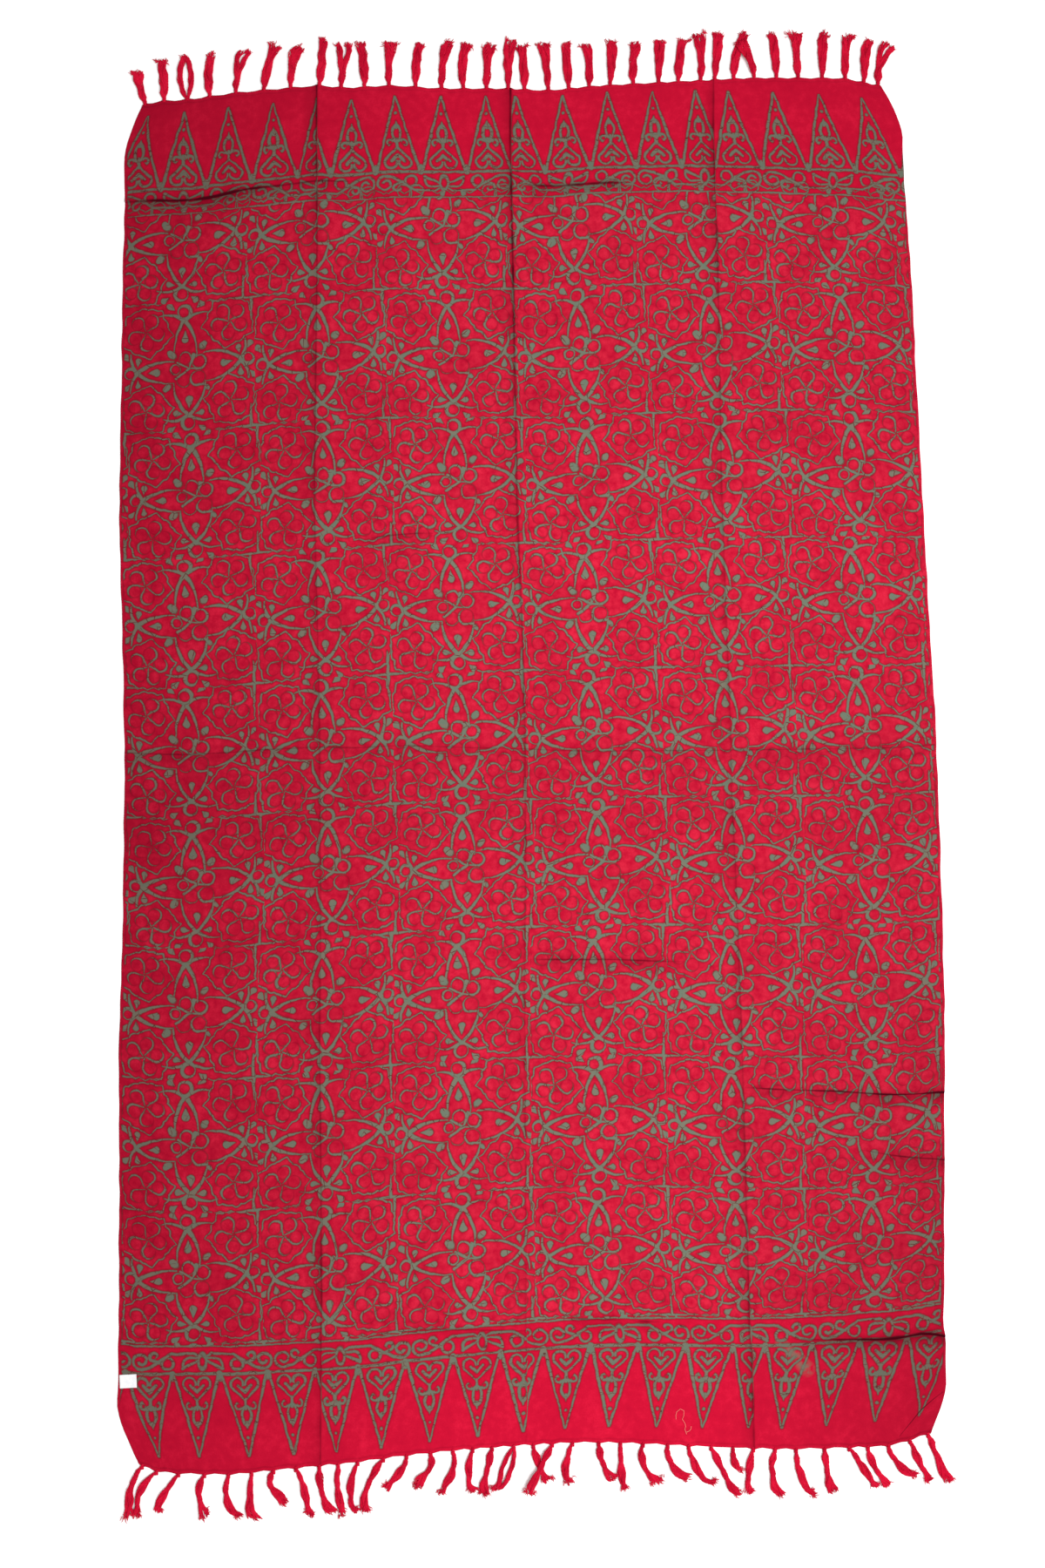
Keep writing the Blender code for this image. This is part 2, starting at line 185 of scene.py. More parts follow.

# %% [markdown]
# ## Folds
#
# The sarong was stored folded in four one way and in half the other, and it was smoothed out by
# hand. That leaves soft ridges along the old folds, and small tucks where slack cloth was pushed
# over itself: a slow rise on one side and a steep step on the other. Sculpting could do it, but a
# table keeps each fold's own path, height and depth of painted shadow, so that each is easy to
# change. The shadow is painted into the cloth's colour, as a dark line below each fold and a soft
# painted shade beside it.

# %% Tables of the folds
# A fold has a name, the way it runs, its line on the grid, and how far its ridge reaches below
# and above that line. Each bend is a place along it, with its path, height and painted shade
# there; a bend that gives only its path is flat.
Bend = namedtuple("Bend", "place path height shade", defaults=(0.0, 0.0))
Fold = namedtuple("Fold", "name runs middle low_side high_side bends")
FOLDS = [Fold(*facts, [Bend(*bend) for bend in bends]) for facts, *bends in (
    (("left_fold", "along", 271, 8, 8),
     (0, 271, 1.6, 0.6), (204, 272, 1.8, 0.7), (896, 266, 1.5, 0.35), (1400, 270, 1.8, 0.55),
     (1613, 273, 1.8, 0.6), (1730, 273, 2.4, 0.8), (1860, 273, 2.6, 0.85)),
    (("middle_fold", "along", 547, 5, 7),
     (0, 546, 1.0, 0.08), (180, 546, 1.2, 0.15), (646, 543, 1.8, 0.3), (1124, 548, 2.2, 0.5),
     (1614, 548, 2.8, 1.0), (1860, 549, 2.6, 0.9)),
    (("right_fold", "along", 836, 7, 6),
     (0, 849, 2.4, 0.75), (70, 848, 2.4, 0.75), (412, 837, 2.2, 0.6), (880, 825, 1.8, 0.4),
     (1300, 830, 2.0, 0.5), (1603, 835, 2.2, 0.7), (1860, 838, 2.4, 0.8)),
    (("half_fold", "across", 940, 8, 8),
     (0, 952, 1.2, 0.5), (186, 950, 1.4, 0.6), (400, 941, 1.3, 0.5), (660, 926, 1.3, 0.55),
     (1016, 927, 1.4, 0.6), (1105, 928, 1.2, 0.5)),
    (("head_tuck", "across", 1722, 2.4, 11),
     (0, 1722, 2.6, 0.3), (60, 1719, 3.2, 1.2), (120, 1718, 3.0, 1.3), (175, 1724, 2.8, 1.1),
     (230, 1725, 2.2, 0.9), (290, 1728, 1.6, 0.6), (340, 1729, 0.6, 0.2), (365, 1727), (560, 1725),
     (585, 1724, 2.2, 0.8), (640, 1722, 2.8, 1.2), (693, 1721, 2.4, 1.0), (720, 1720, 0.6, 0.2),
     (745, 1720), (1105, 1720)),
    (("upper_pinch", "across", 1222, 3, 8),
     (0, 1228), (325, 1228), (355, 1229, 1.4, 0.7), (384, 1231, 1.8, 0.9), (412, 1233, 1.4, 0.7),
     (440, 1233), (1105, 1210)),
    (("lower_pinch", "across", 642, 3, 8),
     (0, 643), (550, 645), (575, 645, 1.8, 0.8), (660, 642, 2.2, 1.0), (730, 640, 1.6, 0.8),
     (765, 640), (1105, 640)),
    (("right_upper_tuck", "across", 464, 1.8, 8),
     (0, 470), (830, 474), (850, 472, 1.4, 0.9), (960, 467, 1.6, 1.1), (1094, 455, 1.8, 1.1),
     (1105, 454, 1.8, 1.1)),
    (("right_lower_tuck", "across", 376, 3, 9),
     (0, 380), (985, 390), (1012, 385, 1.2, 0.5), (1060, 374, 1.6, 0.7), (1105, 363, 2.0, 0.8)),
    (("foot_tuck", "across", 150, 2.2, 10),
     (0, 158), (385, 163), (401, 162, 1.6, 0.4), (470, 156, 2.2, 0.6), (541, 150, 1.6, 0.4),
     (565, 151), (600, 163), (618, 162, 2.0, 0.8), (660, 161, 1.8, 0.6), (685, 160, 0.6, 0.1),
     (705, 160, 2.0, 0.9), (735, 160), (890, 144), (925, 141, 1.6, 0.7), (975, 140, 2.8, 1.3),
     (1020, 139, 3.2, 1.5), (1077, 138, 3.2, 1.5), (1105, 128, 3.2, 1.3)),
)]
print(len(FOLDS), "folds:", ", ".join(fold.name for fold in FOLDS))

# %% [markdown]
# ## Tassels
#
# Each tassel is a bunch of dyed yarns, drawn through the hem and knotted. The two tables give
# each one's root on the hem, how far it bows and leans to the side, and how far it reaches. Most
# have two locks; where a row goes on, it gives the locks, how far they part, and how high the
# tassel is lifted where it crosses its neighbour. They come before the cloth because the hem is
# pulled out a little at every root.

# %% Tables of the tassels
Tassel = namedtuple("Tassel", "root bow lean reach locks splay lift", defaults=(2, 6, 0))
HEAD_TASSELS = [Tassel(*row) for row in (
    (4, -7, -10, 48), (44, -1, -4, 58), (86, -3, -2, 63, 2, 7), (120, -2, 2, 60),
    (157, 3, 10, 60, 2, 17), (197, 5, 16, 63), (235, 2, 8, 59, 3, 9), (276, 3, 5, 67),
    (307, 2, 6, 63, 2, 20), (340, -1, -7, 62), (375, 0, 3, 62, 3, 9), (413, 1, 5, 62),
    (450, 2, 8, 66), (481, -1, 3, 64), (514, 1, 4, 62, 3, 9), (545, 0, 2, 69, 2, 9),
    (568, -1, -4, 62, 2, 5), (602, -3, -6, 67), (631, -2, -5, 64), (660, 0, -3, 60),
    (690, 2, 3, 63), (723, 0, 5, 58, 3, 9), (759, 1, 3, 60), (787, 2, 5, 59),
    (819, 1, -2, 66, 2, 8), (839, 3, 6, 66, 2, 5), (866, 4, 17, 67), (895, -6, -20, 50, 2, 6, 4),
    (927, -2, -5, 64), (958, -2, -2, 64, 3, 9), (992, 1, 0, 64), (1030, 0, 3, 62),
    (1067, 2, 5, 60), (1100, 3, 15, 59, 2, 18),
)]
FOOT_TASSELS = [Tassel(*row) for row in (
    (5, -15, -15, 65, 3, 9), (36, -22, -22, 58), (77, -16, -31, 47), (116, -7, 4, 54, 2, 9),
    (148, -2, 10, 57), (179, -2, -1, 60, 2, 13), (208, -3, 18, 40), (238, 12, 17, 60),
    (269, 3, 15, 62, 3, 9), (294, 0, 7, 65, 2, 5), (320, -9, -6, 66, 2, 5),
    (354, -20, -27, 69, 2, 5), (385, -7, -28, 40), (417, -1, -20, 39, 3, 9), (447, 0, -17, 51),
    (473, -5, -2, 56, 2, 7), (499, -7, -13, 60), (528, -9, -19, 58), (554, 6, 19, 48, 2, 5),
    (579, -16, -33, 63, 2, 5, 4), (606, -8, -9, 52, 2, 9), (641, 5, 17, 49), (670, 1, 4, 60),
    (700, 0, 19, 51, 3, 9), (733, 4, 26, 46), (761, 9, 29, 53), (791, 16, 33, 64),
    (820, 1, 8, 30, 2, 5), (847, -6, -7, 58), (876, -4, 4, 62), (904, 5, 19, 61, 3, 9),
    (942, 3, 9, 56), (975, 18, 35, 52), (1000, 8, 27, 49), (1031, 9, 33, 40), (1067, 11, 26, 52),
    (1100, 12, 24, 62, 2, 12),
)]
print(len(HEAD_TASSELS), "tassels at the head and", len(FOOT_TASSELS), "at the foot")

# %% [markdown]
# ## The panel
#
# The panel is one grid. Its lines stand close together beside each fold, hem and selvedge, and
# they bend with the folds, so that a crease two millimetres wide gets clean edges without millions
# of faces. A cloth simulation would crumple it by chance, but these folds have known places. Each
# vertex keeps its printed place in a UV map, in metres, and its fold's painted shade in an
# attribute, and the print reads both.

# %% Lines of the grid
CELL = 11.0
FOLD_LINES = (-11, -7.5, -5, -3.4, -2.2, -1.3, -0.6, 0, 0.8, 1.8, 3.2, 5, 7.5, 11)
END_LINES = (0, 0.7, 1.8, 3.1, 4.3, 5.2, 6.5, 9, 14, 21)


def grid_lines(length, folds):
    """Places of the grid's lines from 0 to length, close together at folds and edges."""
    marks = {end for line in END_LINES for end in (line, length - line)}
    for fold in folds:
        marks.update(fold.middle + line for line in FOLD_LINES)
    marks = sorted(marks)
    lines = [marks[0]]
    for mark in marks[1:]:
        cells = max(1, math.ceil((mark - lines[-1]) / CELL))
        start = lines[-1]
        lines += [start + (mark - start) * cell / cells for cell in range(1, cells + 1)]
    return lines


LONG_FOLDS = [fold for fold in FOLDS if fold.runs == "along"]
CROSS_FOLDS = [fold for fold in FOLDS if fold.runs == "across"]
COLUMNS = grid_lines(CUT_WIDTH, LONG_FOLDS)
ROWS = grid_lines(CUT_LENGTH, CROSS_FOLDS)
print(len(COLUMNS), "columns and", len(ROWS), "rows")


# %% How folds bend the grid
BEND_NEAR = 14.0        # cloth this near a fold runs beside it
BEND_FAR = 62.0         # and from here on it no longer bends with it
UNEVEN_LENGTH = 23      # millimetres to a lump along a fold
UNEVEN_MIDDLE = 0.8     # share of its stated height that it has, give or take the range
UNEVEN_RANGE = 0.4


def ease(value, low, high):
    """0 below low, 1 above high, and smooth between the two."""
    share = min(max((value - low) / (high - low), 0.0), 1.0)
    return share * share * (3 - 2 * share)


def lumps(x, y, seed):
    """Smooth noise from -1 to 1, about one lump to each unit of x and y."""
    return noise.noise(Vector((x, y, seed)))


def bend_at(fold, place):
    """A fold's path, height and shade at a place along its run."""
    path, height, shade = (from_table(fold.bends, place, value) for value in Bend._fields[1:])
    lump = lumps(place / UNEVEN_LENGTH, fold.middle, 0.5)
    unevenness = UNEVEN_MIDDLE + UNEVEN_RANGE * lump
    return path, height * unevenness, shade * unevenness


def shift_of(folds, bends, line):
    """How far the folds push a grid line sideways."""
    return sum(
        (path - fold.middle) * ease(BEND_FAR - abs(line - fold.middle), 0, BEND_FAR - BEND_NEAR)
        for fold, (path, _, _) in zip(folds, bends))


print("folds bend the cloth up to", BEND_FAR, "mm away")

# %% How folds lift it and paint its shade
# A fold's shade is painted into the cloth's colour: a dark painted shadow line below its middle
# and a soft painted shadow beside it.
LINE_OFFSET = 0.8       # a fold's dark line lies this far below its middle
SOFT_OFFSET = 5.0       # and its soft shadow this far
SOFT_WIDTH = 15.0
SOFT_SHADE = 0.3
SOFT_POWER = 1.3


def ridge(folds, bends, line):
    """Height of the tallest fold beside a grid line, and the darkest painted shade of the folds
    there.
    """
    best, darkest = 0.0, 0.0
    for fold, (_, height, shade) in zip(folds, bends):
        aside = line - fold.middle
        side = fold.high_side if aside > 0 else fold.low_side
        nearness = 1 - abs(aside) / side
        if nearness > 0:
            best = max(best, height * nearness * nearness * (3 - 2 * nearness))
        # painted shade: a dark shadow line and a soft shadow beside the fold
        line_dark = max(0.0, 1 - abs(aside + LINE_OFFSET) / (LINE_OFFSET + height))
        soft_dark = max(0.0, 1 - abs(aside + SOFT_OFFSET) / SOFT_WIDTH) ** SOFT_POWER
        darkest = max(darkest, shade * max(line_dark, SOFT_SHADE * soft_dark))
    return best, darkest


print("tallest fold:", max(bend.height for fold in FOLDS for bend in fold.bends), "mm")

# %% How tassels pull the hem
SCALLOP = 2.8           # how far a root pulls the hem out
SCALLOP_DEPTH = 34.0
SCALLOP_POWER = 1.5


def scallop(tassels, across):
    """The hem's outward pull: full at each root and nothing half way between."""
    for low, high in zip(tassels, tassels[1:]):
        if low.root <= across <= high.root:
            share = (across - low.root) / (high.root - low.root)
            return SCALLOP * (1 - 2 * min(share, 1 - share)) ** SCALLOP_POWER
    return SCALLOP * 0.5


def hem_pull(across, along):
    """Lengthwise pull near both hems."""
    at_head = max(0.0, 1 - (CUT_LENGTH - along) / SCALLOP_DEPTH)
    at_foot = max(0.0, 1 - along / SCALLOP_DEPTH)
    return scallop(HEAD_TASSELS, across) * at_head - scallop(FOOT_TASSELS, across) * at_foot


print("tassels pull the hem out by", SCALLOP, "mm")

# %% Height of the cloth
CLOTH_WALL = 0.6
HEM_RISE = 0.9
WAVE_RISE = 1.3
WAVE_MIDDLE = 0.45      # shares of the rise: everywhere, in broad waves and in small ones
WAVE_BROAD = 0.6
WAVE_SMALL = 0.25
BROAD_WAVE = (170, 130) # millimetres to a wave, across and along
SMALL_WAVE = (47, 60)
RIPPLE = 1.5            # how far a selvedge ripples to the side
RIPPLE_LENGTH = 31
RIPPLE_DEPTH = 40


def hem_roll(from_end):
    """Height of the narrow rolled hem."""
    middle = HEM_STRIP / 2
    return HEM_RISE * max(0.0, 1 - ((from_end - middle) / middle) ** 2)


def slack(across, along):
    """Soft waves of cloth that doesn't lie quite flat."""
    broad = lumps(across / BROAD_WAVE[0], along / BROAD_WAVE[1], 3.1)
    small = lumps(across / SMALL_WAVE[0], along / SMALL_WAVE[1], 8.4)
    return WAVE_RISE * max(0.0, WAVE_MIDDLE + broad * WAVE_BROAD + small * WAVE_SMALL)


def selvedge_ripple(across, along):
    """Sideways ripple of the woven edges."""
    from_side = min(across, CUT_WIDTH - across)
    ripple = lumps(along / RIPPLE_LENGTH, 0.0 if across < CUT_WIDTH / 2 else 9.0, 1.7)
    return RIPPLE * ripple * max(0.0, 1 - from_side / RIPPLE_DEPTH)


print("cloth wall:", CLOTH_WALL, "mm")

# %% [markdown]
# ## Where the print lies
#
# The cloth was printed flat and straight, and it lies a little crooked now. At both ends the long
# folds swallow some cloth, so the print jumps there, and the rows of triangles sag and rise with
# the hem. A UV map could be pinned and pulled by hand to show that. Working it out for each
# vertex keeps the print itself simple, because it can go on as if the cloth were straight.

# %% From a laid place to its printed place
Swallowed = namedtuple("Swallowed", "fold foot head")
SWALLOWED = (
    Swallowed(LONG_FOLDS[0], 6, 18),
    Swallowed(LONG_FOLDS[1], 6, 18),
    Swallowed(LONG_FOLDS[2], 20, 18),
)
HEAD_SWALLOW = (1630, 1740)     # from nothing to all of it, along the cloth
FOOT_SWALLOW = (130, 250)       # and the other way round
LIP = (-0.7, 0.9)               # how narrow the jump at a fold is
GIVEN_BACK = 6                  # at the head, right of the last fold
GIVEN_BACK_ACROSS = (800, 1060)

Sag = namedtuple("Sag", "across head foot")
SAGS = [Sag(*row) for row in (
    (0, -5, -6), (60, -5, 0), (120, -6, 2), (180, -6, 0), (270, -5, -4), (350, -3, -6),
    (440, 1, -5), (550, 3, -3), (640, 4, -1), (720, 2, 2), (800, 0, 4), (870, -5, 6), (960, -9, 9),
    (1010, -10, 12), (1105, -10, 8),
)]
HEAD_SAG = (1480, 1720)
FOOT_SAG = (150, 350)


def printed_place(across, along):
    """Where a place of the laid panel is on the straight cloth that was printed."""
    near_head, near_foot = ease(along, *HEAD_SWALLOW), 1 - ease(along, *FOOT_SWALLOW)
    passed = total = 0.0
    for fold, foot, head in SWALLOWED:
        swallowed = foot * near_foot + head * near_head
        path = from_table(fold.bends, along, "path")
        passed += swallowed * ease(across, path + LIP[0], path + LIP[1])
        total += swallowed
    passed -= GIVEN_BACK * near_head * ease(across, *GIVEN_BACK_ACROSS)
    sag = from_table(SAGS, across, "head") * ease(along, *HEAD_SAG)
    sag += from_table(SAGS, across, "foot") * (1 - ease(along, *FOOT_SAG))
    return (across + passed) * CUT_WIDTH / (CUT_WIDTH + total), along - sag


print("folds swallow", sum(row.head for row in SWALLOWED), "mm of print at the head")


# %% Every point of the panel
# The inner edge of each hem gets a painted shadow line in the fold shade.
SEAM_SHADE = 0.2        # shadow along the inner edge of each hem
SEAM_WIDTH = 1.6


def panel_points():
    """Each grid point's printed place, its laid place and its fold shade, row by row."""
    long_bends = {row: [bend_at(fold, row) for fold in LONG_FOLDS] for row in ROWS}
    cross_bends = {column: [bend_at(fold, column) for fold in CROSS_FOLDS]
                   for column in COLUMNS}
    points = []
    for row in ROWS:
        for column in COLUMNS:
            across = column + shift_of(LONG_FOLDS, long_bends[row], column)
            along = row + shift_of(CROSS_FOLDS, cross_bends[column], row)
            along_height, along_shade = ridge(LONG_FOLDS, long_bends[row], column)
            cross_height, cross_shade = ridge(CROSS_FOLDS, cross_bends[column], row)
            from_end = min(along, CUT_LENGTH - along)
            height = max(along_height, cross_height, slack(across, along))
            height += hem_roll(from_end) + CLOTH_WALL
            x, y = plain_place(across, along) + CENTRING
            x += selvedge_ripple(across, along)
            y += hem_pull(across, along)
            seam_shadow = SEAM_SHADE * max(0.0, 1 - abs(from_end - HEM_STRIP) / SEAM_WIDTH)
            shade = max(along_shade, cross_shade, seam_shadow)
            points.append((printed_place(across, along), (x, y, height), shade))
    return points


points = panel_points()
print(len(points), "points; the highest at", round(max(laid[2] for _, laid, _ in points), 2), "mm")


# %% Make the panel
def make_panel():
    bm = bmesh.new()
    bmesh.ops.create_grid(
        bm, x_segments=len(COLUMNS) - 1, y_segments=len(ROWS) - 1, size=0.5)
    shade = bm.verts.layers.float.new("fold_shade")
    printed = {}
    for vert in bm.verts:
        column = round((vert.co.x + 0.5) * (len(COLUMNS) - 1))
        row = round((vert.co.y + 0.5) * (len(ROWS) - 1))
        place, laid, vert[shade] = points[row * len(COLUMNS) + column]
        printed[vert] = Vector(place) * MM
        vert.co = Vector(laid) * MM
    return smooth_sheet(bm, "sarong_cloth", printed, CLOTH_WALL)


def smooth_sheet(bm, name, places, wall):
    """A bent grid as a smooth piece with a wall; places are its vertices' own in the UV map."""
    cut = bm.loops.layers.uv.new("cut")
    for face in bm.faces:
        face.smooth = True
        for loop in face.loops:
            loop[cut].uv = places[loop.vert]
    piece = piece_from(bm, name)
    solid = piece.modifiers.new("wall", "SOLIDIFY")
    solid.thickness = wall * MM
    solid.offset = -1
    return piece


def piece_from(bm, name):
    """A finished bmesh in metres as a named piece."""
    mesh = bpy.data.meshes.new(name)
    bm.to_mesh(mesh)
    bm.free()
    return placed(name, mesh)


def placed(name, data):
    """A named object at the origin that holds a mesh, a curve, a light or the camera."""
    holder = bpy.data.objects.new(name, data)
    bpy.context.scene.collection.objects.link(holder)
    return holder


panel = make_panel()
print("panel:", len(panel.data.polygons), "faces on one side")

# %% [markdown]
# ## Sums on a surface
#
# A print is a drawing that the material works out for each point of the cloth. That takes many
# small sums, and wiring each one by hand would hide the drawing. So one class wraps a socket and
# turns Python's own signs into Math nodes, and one method adds any other node.

# %% A value that changes over the surface
class Value:
    """A number on a surface. Sums on it add Math nodes to its material."""

    def __init__(self, finish, socket):
        self.finish = finish
        self.socket = socket

    def math(self, operation, *others):
        return self.finish.math(operation, self, *others)

    def __add__(self, other):
        return self.math("ADD", other)

    __radd__ = __add__

    def __sub__(self, other):
        return self.math("SUBTRACT", other)

    def __rsub__(self, other):
        return self.finish.math("SUBTRACT", other, self)

    def __mul__(self, other):
        return self.math("MULTIPLY", other)

    __rmul__ = __mul__

    def __truediv__(self, other):
        return self.math("DIVIDE", other)

    def __abs__(self):
        return self.math("ABSOLUTE")

    def __floor__(self):
        return self.math("FLOOR")

    def least(self, other):
        return self.math("MINIMUM", other)

    def most(self, other):
        return self.math("MAXIMUM", other)

    def over(self, other):
        """1 where this value is over the other, and 0 elsewhere."""
        return self.math("GREATER_THAN", other)

    def wrapped(self, low, high):
        return self.math("WRAP", high, low)

    def times_plus(self, factor, rest, clamp=False):
        return self.finish.math("MULTIPLY_ADD", self, factor, rest, clamp=clamp)

    def fading(self, full, none):
        """1 at full, 0 at none and beyond, and even between the two."""
        slope = 1 / (full - none)
        return self.times_plus(slope, -none * slope, clamp=True)


print("Value is ready")


# %% A finish: a material and its nodes
MEASURES = ("LENGTH", "DOT_PRODUCT", "DISTANCE")


class Finish:
    """A material under construction."""

    def __init__(self, name):
        self.material = bpy.data.materials.new(name)
        self.material.use_nodes = True
        self.tree = self.material.node_tree
        self.shader = self.tree.nodes["Principled BSDF"]
        self.output = self.tree.nodes["Material Output"]

    def set(self, node, inputs):
        for name, value in inputs.items():
            socket = node.inputs[name]
            source = value.socket if isinstance(value, Value) else value
            if isinstance(source, bpy.types.NodeSocket):
                self.tree.links.new(source, socket)
            else:
                socket.default_value = source

    def node(self, kind, settings={}, inputs={}):
        made = self.tree.nodes.new("ShaderNode" + kind)
        for setting, value in settings.items():
            setattr(made, setting, value)
        self.set(made, inputs)
        return made

    def value(self, kind, settings={}, inputs={}, output=0):
        """One output of a new node, ready for sums."""
        return Value(self, self.node(kind, settings, inputs).outputs[output])

    def math(self, operation, *inputs, clamp=False):
        settings = {"operation": operation, "use_clamp": clamp}
        return self.value("Math", settings, dict(enumerate(inputs)))

    def vector(self, operation, *vectors):
        made = self.node("VectorMath", {"operation": operation}, dict(enumerate(vectors)))
        if operation in MEASURES:
            return Value(self, made.outputs["Value"])
        return made.outputs["Vector"]

    def scaled(self, vector, scale):
        settings, inputs = {"operation": "SCALE"}, {0: vector, "Scale": scale}
        return self.node("VectorMath", settings, inputs).outputs["Vector"]

    def pair(self, x, y):
        return self.node("CombineXYZ", inputs={"X": x, "Y": y}).outputs[0]

    def parts(self, vector):
        made = self.node("SeparateXYZ", inputs={0: vector})
        return [Value(self, output) for output in made.outputs]

    def choose(self, share, first, second):
        """The first vector where share is 0, and the second where it is 1."""
        settings = {"data_type": "VECTOR"}
        return self.node("Mix", settings, {0: share, 4: first, 5: second}).outputs[1]

    def blend(self, share, first, second):
        """A colour between two others."""
        settings = {"data_type": "RGBA"}
        return self.node("Mix", settings, {0: share, 6: first, 7: second}).outputs[2]

    def cloudy(self, place, scale, detail=1.0, output=0):
        """Flat noise around a half, with scale in lumps to each unit of place."""
        inputs = {"Vector": place, "Scale": scale, "Detail": detail}
        return self.value("TexNoise", {"noise_dimensions": "2D"}, inputs, output)

    def chance(self, place, output=0):
        """One random number, or colour, for each whole place."""
        return self.value("TexWhiteNoise", {"noise_dimensions": "2D"}, {"Vector": place}, output)

    def chart(self, value, stops):
        """Straight lines through stops, each an (x, y) pair between 0 and 1."""
        made = self.node("FloatCurve", inputs={"Value": value})
        curve = made.mapping.curves[0]
        while len(curve.points) < len(stops):
            curve.points.new(0.5, 0.5)
        for point, stop in zip(curve.points, stops):
            point.location = stop
            point.handle_type = "VECTOR"
        made.mapping.update()
        return Value(self, made.outputs[0])

    def bump(self, height, strength, depth):
        """A normal for a surface that only the light sees, with its depth in metres."""
        inputs = {"Height": height, "Strength": strength, "Distance": depth}
        return self.node("Bump", inputs=inputs).outputs[0]


print("Finish is ready")


# %% A painter's colours
def srgb(red, green, blue):
    """A colour as a painter writes it, 0 to 255, for a socket."""
    linear = [((part / 255 + 0.055) / 1.055) ** 2.4 if part > 10 else part / 255 / 12.92
              for part in (red, green, blue)]
    return (*linear, 1.0)


print("a painter's 128 is", round(srgb(128, 128, 128)[0], 3), "in a socket")

# %% [markdown]
# ## Wax strokes
#
# The batik maker dips a copper stamp in hot wax and presses it on the cloth: what the wax covers
# keeps its pale grey-green, and the dye turns the rest red. A stamp is bent from copper strip, so
# its drawing is all strokes, arcs and drops. Each is a distance: how many millimetres a point is
# from the stroke's edge, less than nothing inside. The nearest stroke wins. The numbers in a
# drawing are points, radii and half widths, in millimetres.

# %% Strokes, arcs and drops
def stroke(wax, place, start, end, width, end_width=None):
    """Distance to a straight stroke whose half width may change along it."""
    run = Vector((*end, 0)) - Vector((*start, 0))
    offset = wax.vector("SUBTRACT", place, (*start, 0))
    share = wax.vector("DOT_PRODUCT", offset, run / run.length_squared).fading(1.0, 0.0)
    distance = wax.vector("DISTANCE", offset, wax.scaled(run, share))
    if end_width is not None:
        distance = share.times_plus(width - end_width, distance)
    return distance - width


def drop(wax, place, round_end, tip, width):
    """Distance to a solid drop."""
    return stroke(wax, place, round_end, tip, width, 0.0)


def arc(wax, place, centre, radius, width, keep, keep_from):
    """Distance to the part of a ring that lies beyond keep_from towards keep."""
    centre, keep = Vector((*centre, 0)), Vector((*keep, 0)).normalized()
    ring = abs(wax.vector("DISTANCE", place, centre) - radius) - width
    return ring.most(keep_from + centre.dot(keep) - wax.vector("DOT_PRODUCT", place, keep))


def petal_loop(wax, place, centre, radius, width, thick):
    """Distance to a ring that thickens towards the thick side and thins away from it."""
    centre, thick = Vector((*centre, 0)), Vector((*thick, 0)) / radius
    ring = abs(wax.vector("DISTANCE", place, centre) - radius)
    thickness = wax.vector("DOT_PRODUCT", place, thick) + (width - centre.dot(thick))
    return ring - thickness


def drawn(wax, place, drawing):
    """Distances to every row of a drawing, each a kind of stroke and its measures."""
    return [kind(wax, place, *measures) for kind, *measures in drawing]


def nearest_of(distances):
    best = distances[0]
    for distance in distances[1:]:
        best = best.least(distance)
    return best


print("strokes are ready")

# %% [markdown]
# ## The field stamp
#
# One square stamp covers the middle of the cloth. In its centre a small flower sits between four
# pointed leaves, two turned arcs to each leaf, and the arcs carry on past their crossing as
# tails. In each corner a large pinwheel flower stands in a wavy frame. The four leaves are alike
# but not the same, so a point is first turned into the frame of the leaf that it is nearest to,
# and the leaf is drawn only once.

# %% The leaves, their tails and their drops
# Where each leaf's arcs cross, how far its side drops are kept off it, the way it points in
# degrees, its narrowness, and how far its own drop is moved towards the flower.
Leaf = namedtuple("Leaf", "x y side_gap turn narrow drop_shift")
LEAVES = (
    Leaf(-74, -6.4, 0, 180, 0.75, 2.6),
    Leaf(72, 3.8, 0, 5.5, 1.0, -1.0),
    Leaf(-0.5, -66, 0, 269, 1.1, -3.5),
    Leaf(-7.5, 65, 30, 92, 0.78, 1.2),
)
LEAF_ARC_CENTRE = (-46, -42.9, 0)   # of the arc along each side of a leaf, from the crossing
LEAF_ARC_RADIUS = 62.9
LEAF_BASE = -52                     # where the sides end, beside the small flower
LEAF_WIDTH = 1.0                    # half the width of a side at its base
LEAF_SWELL = 1.9                    # and what it gains towards the crossing
TAIL_TAPER = 1 / 18
TAIL_END = (9.0, 29.0)              # how far tails spread: what upright leaves add, and all have


def pick_of_four(wax, across_share, along_share, corners):
    """One vector out of four: lower left, lower right, upper left, upper right."""
    lower = wax.choose(across_share, corners[0], corners[1])
    upper = wax.choose(across_share, corners[2], corners[3])
    return wax.choose(along_share, lower, upper)


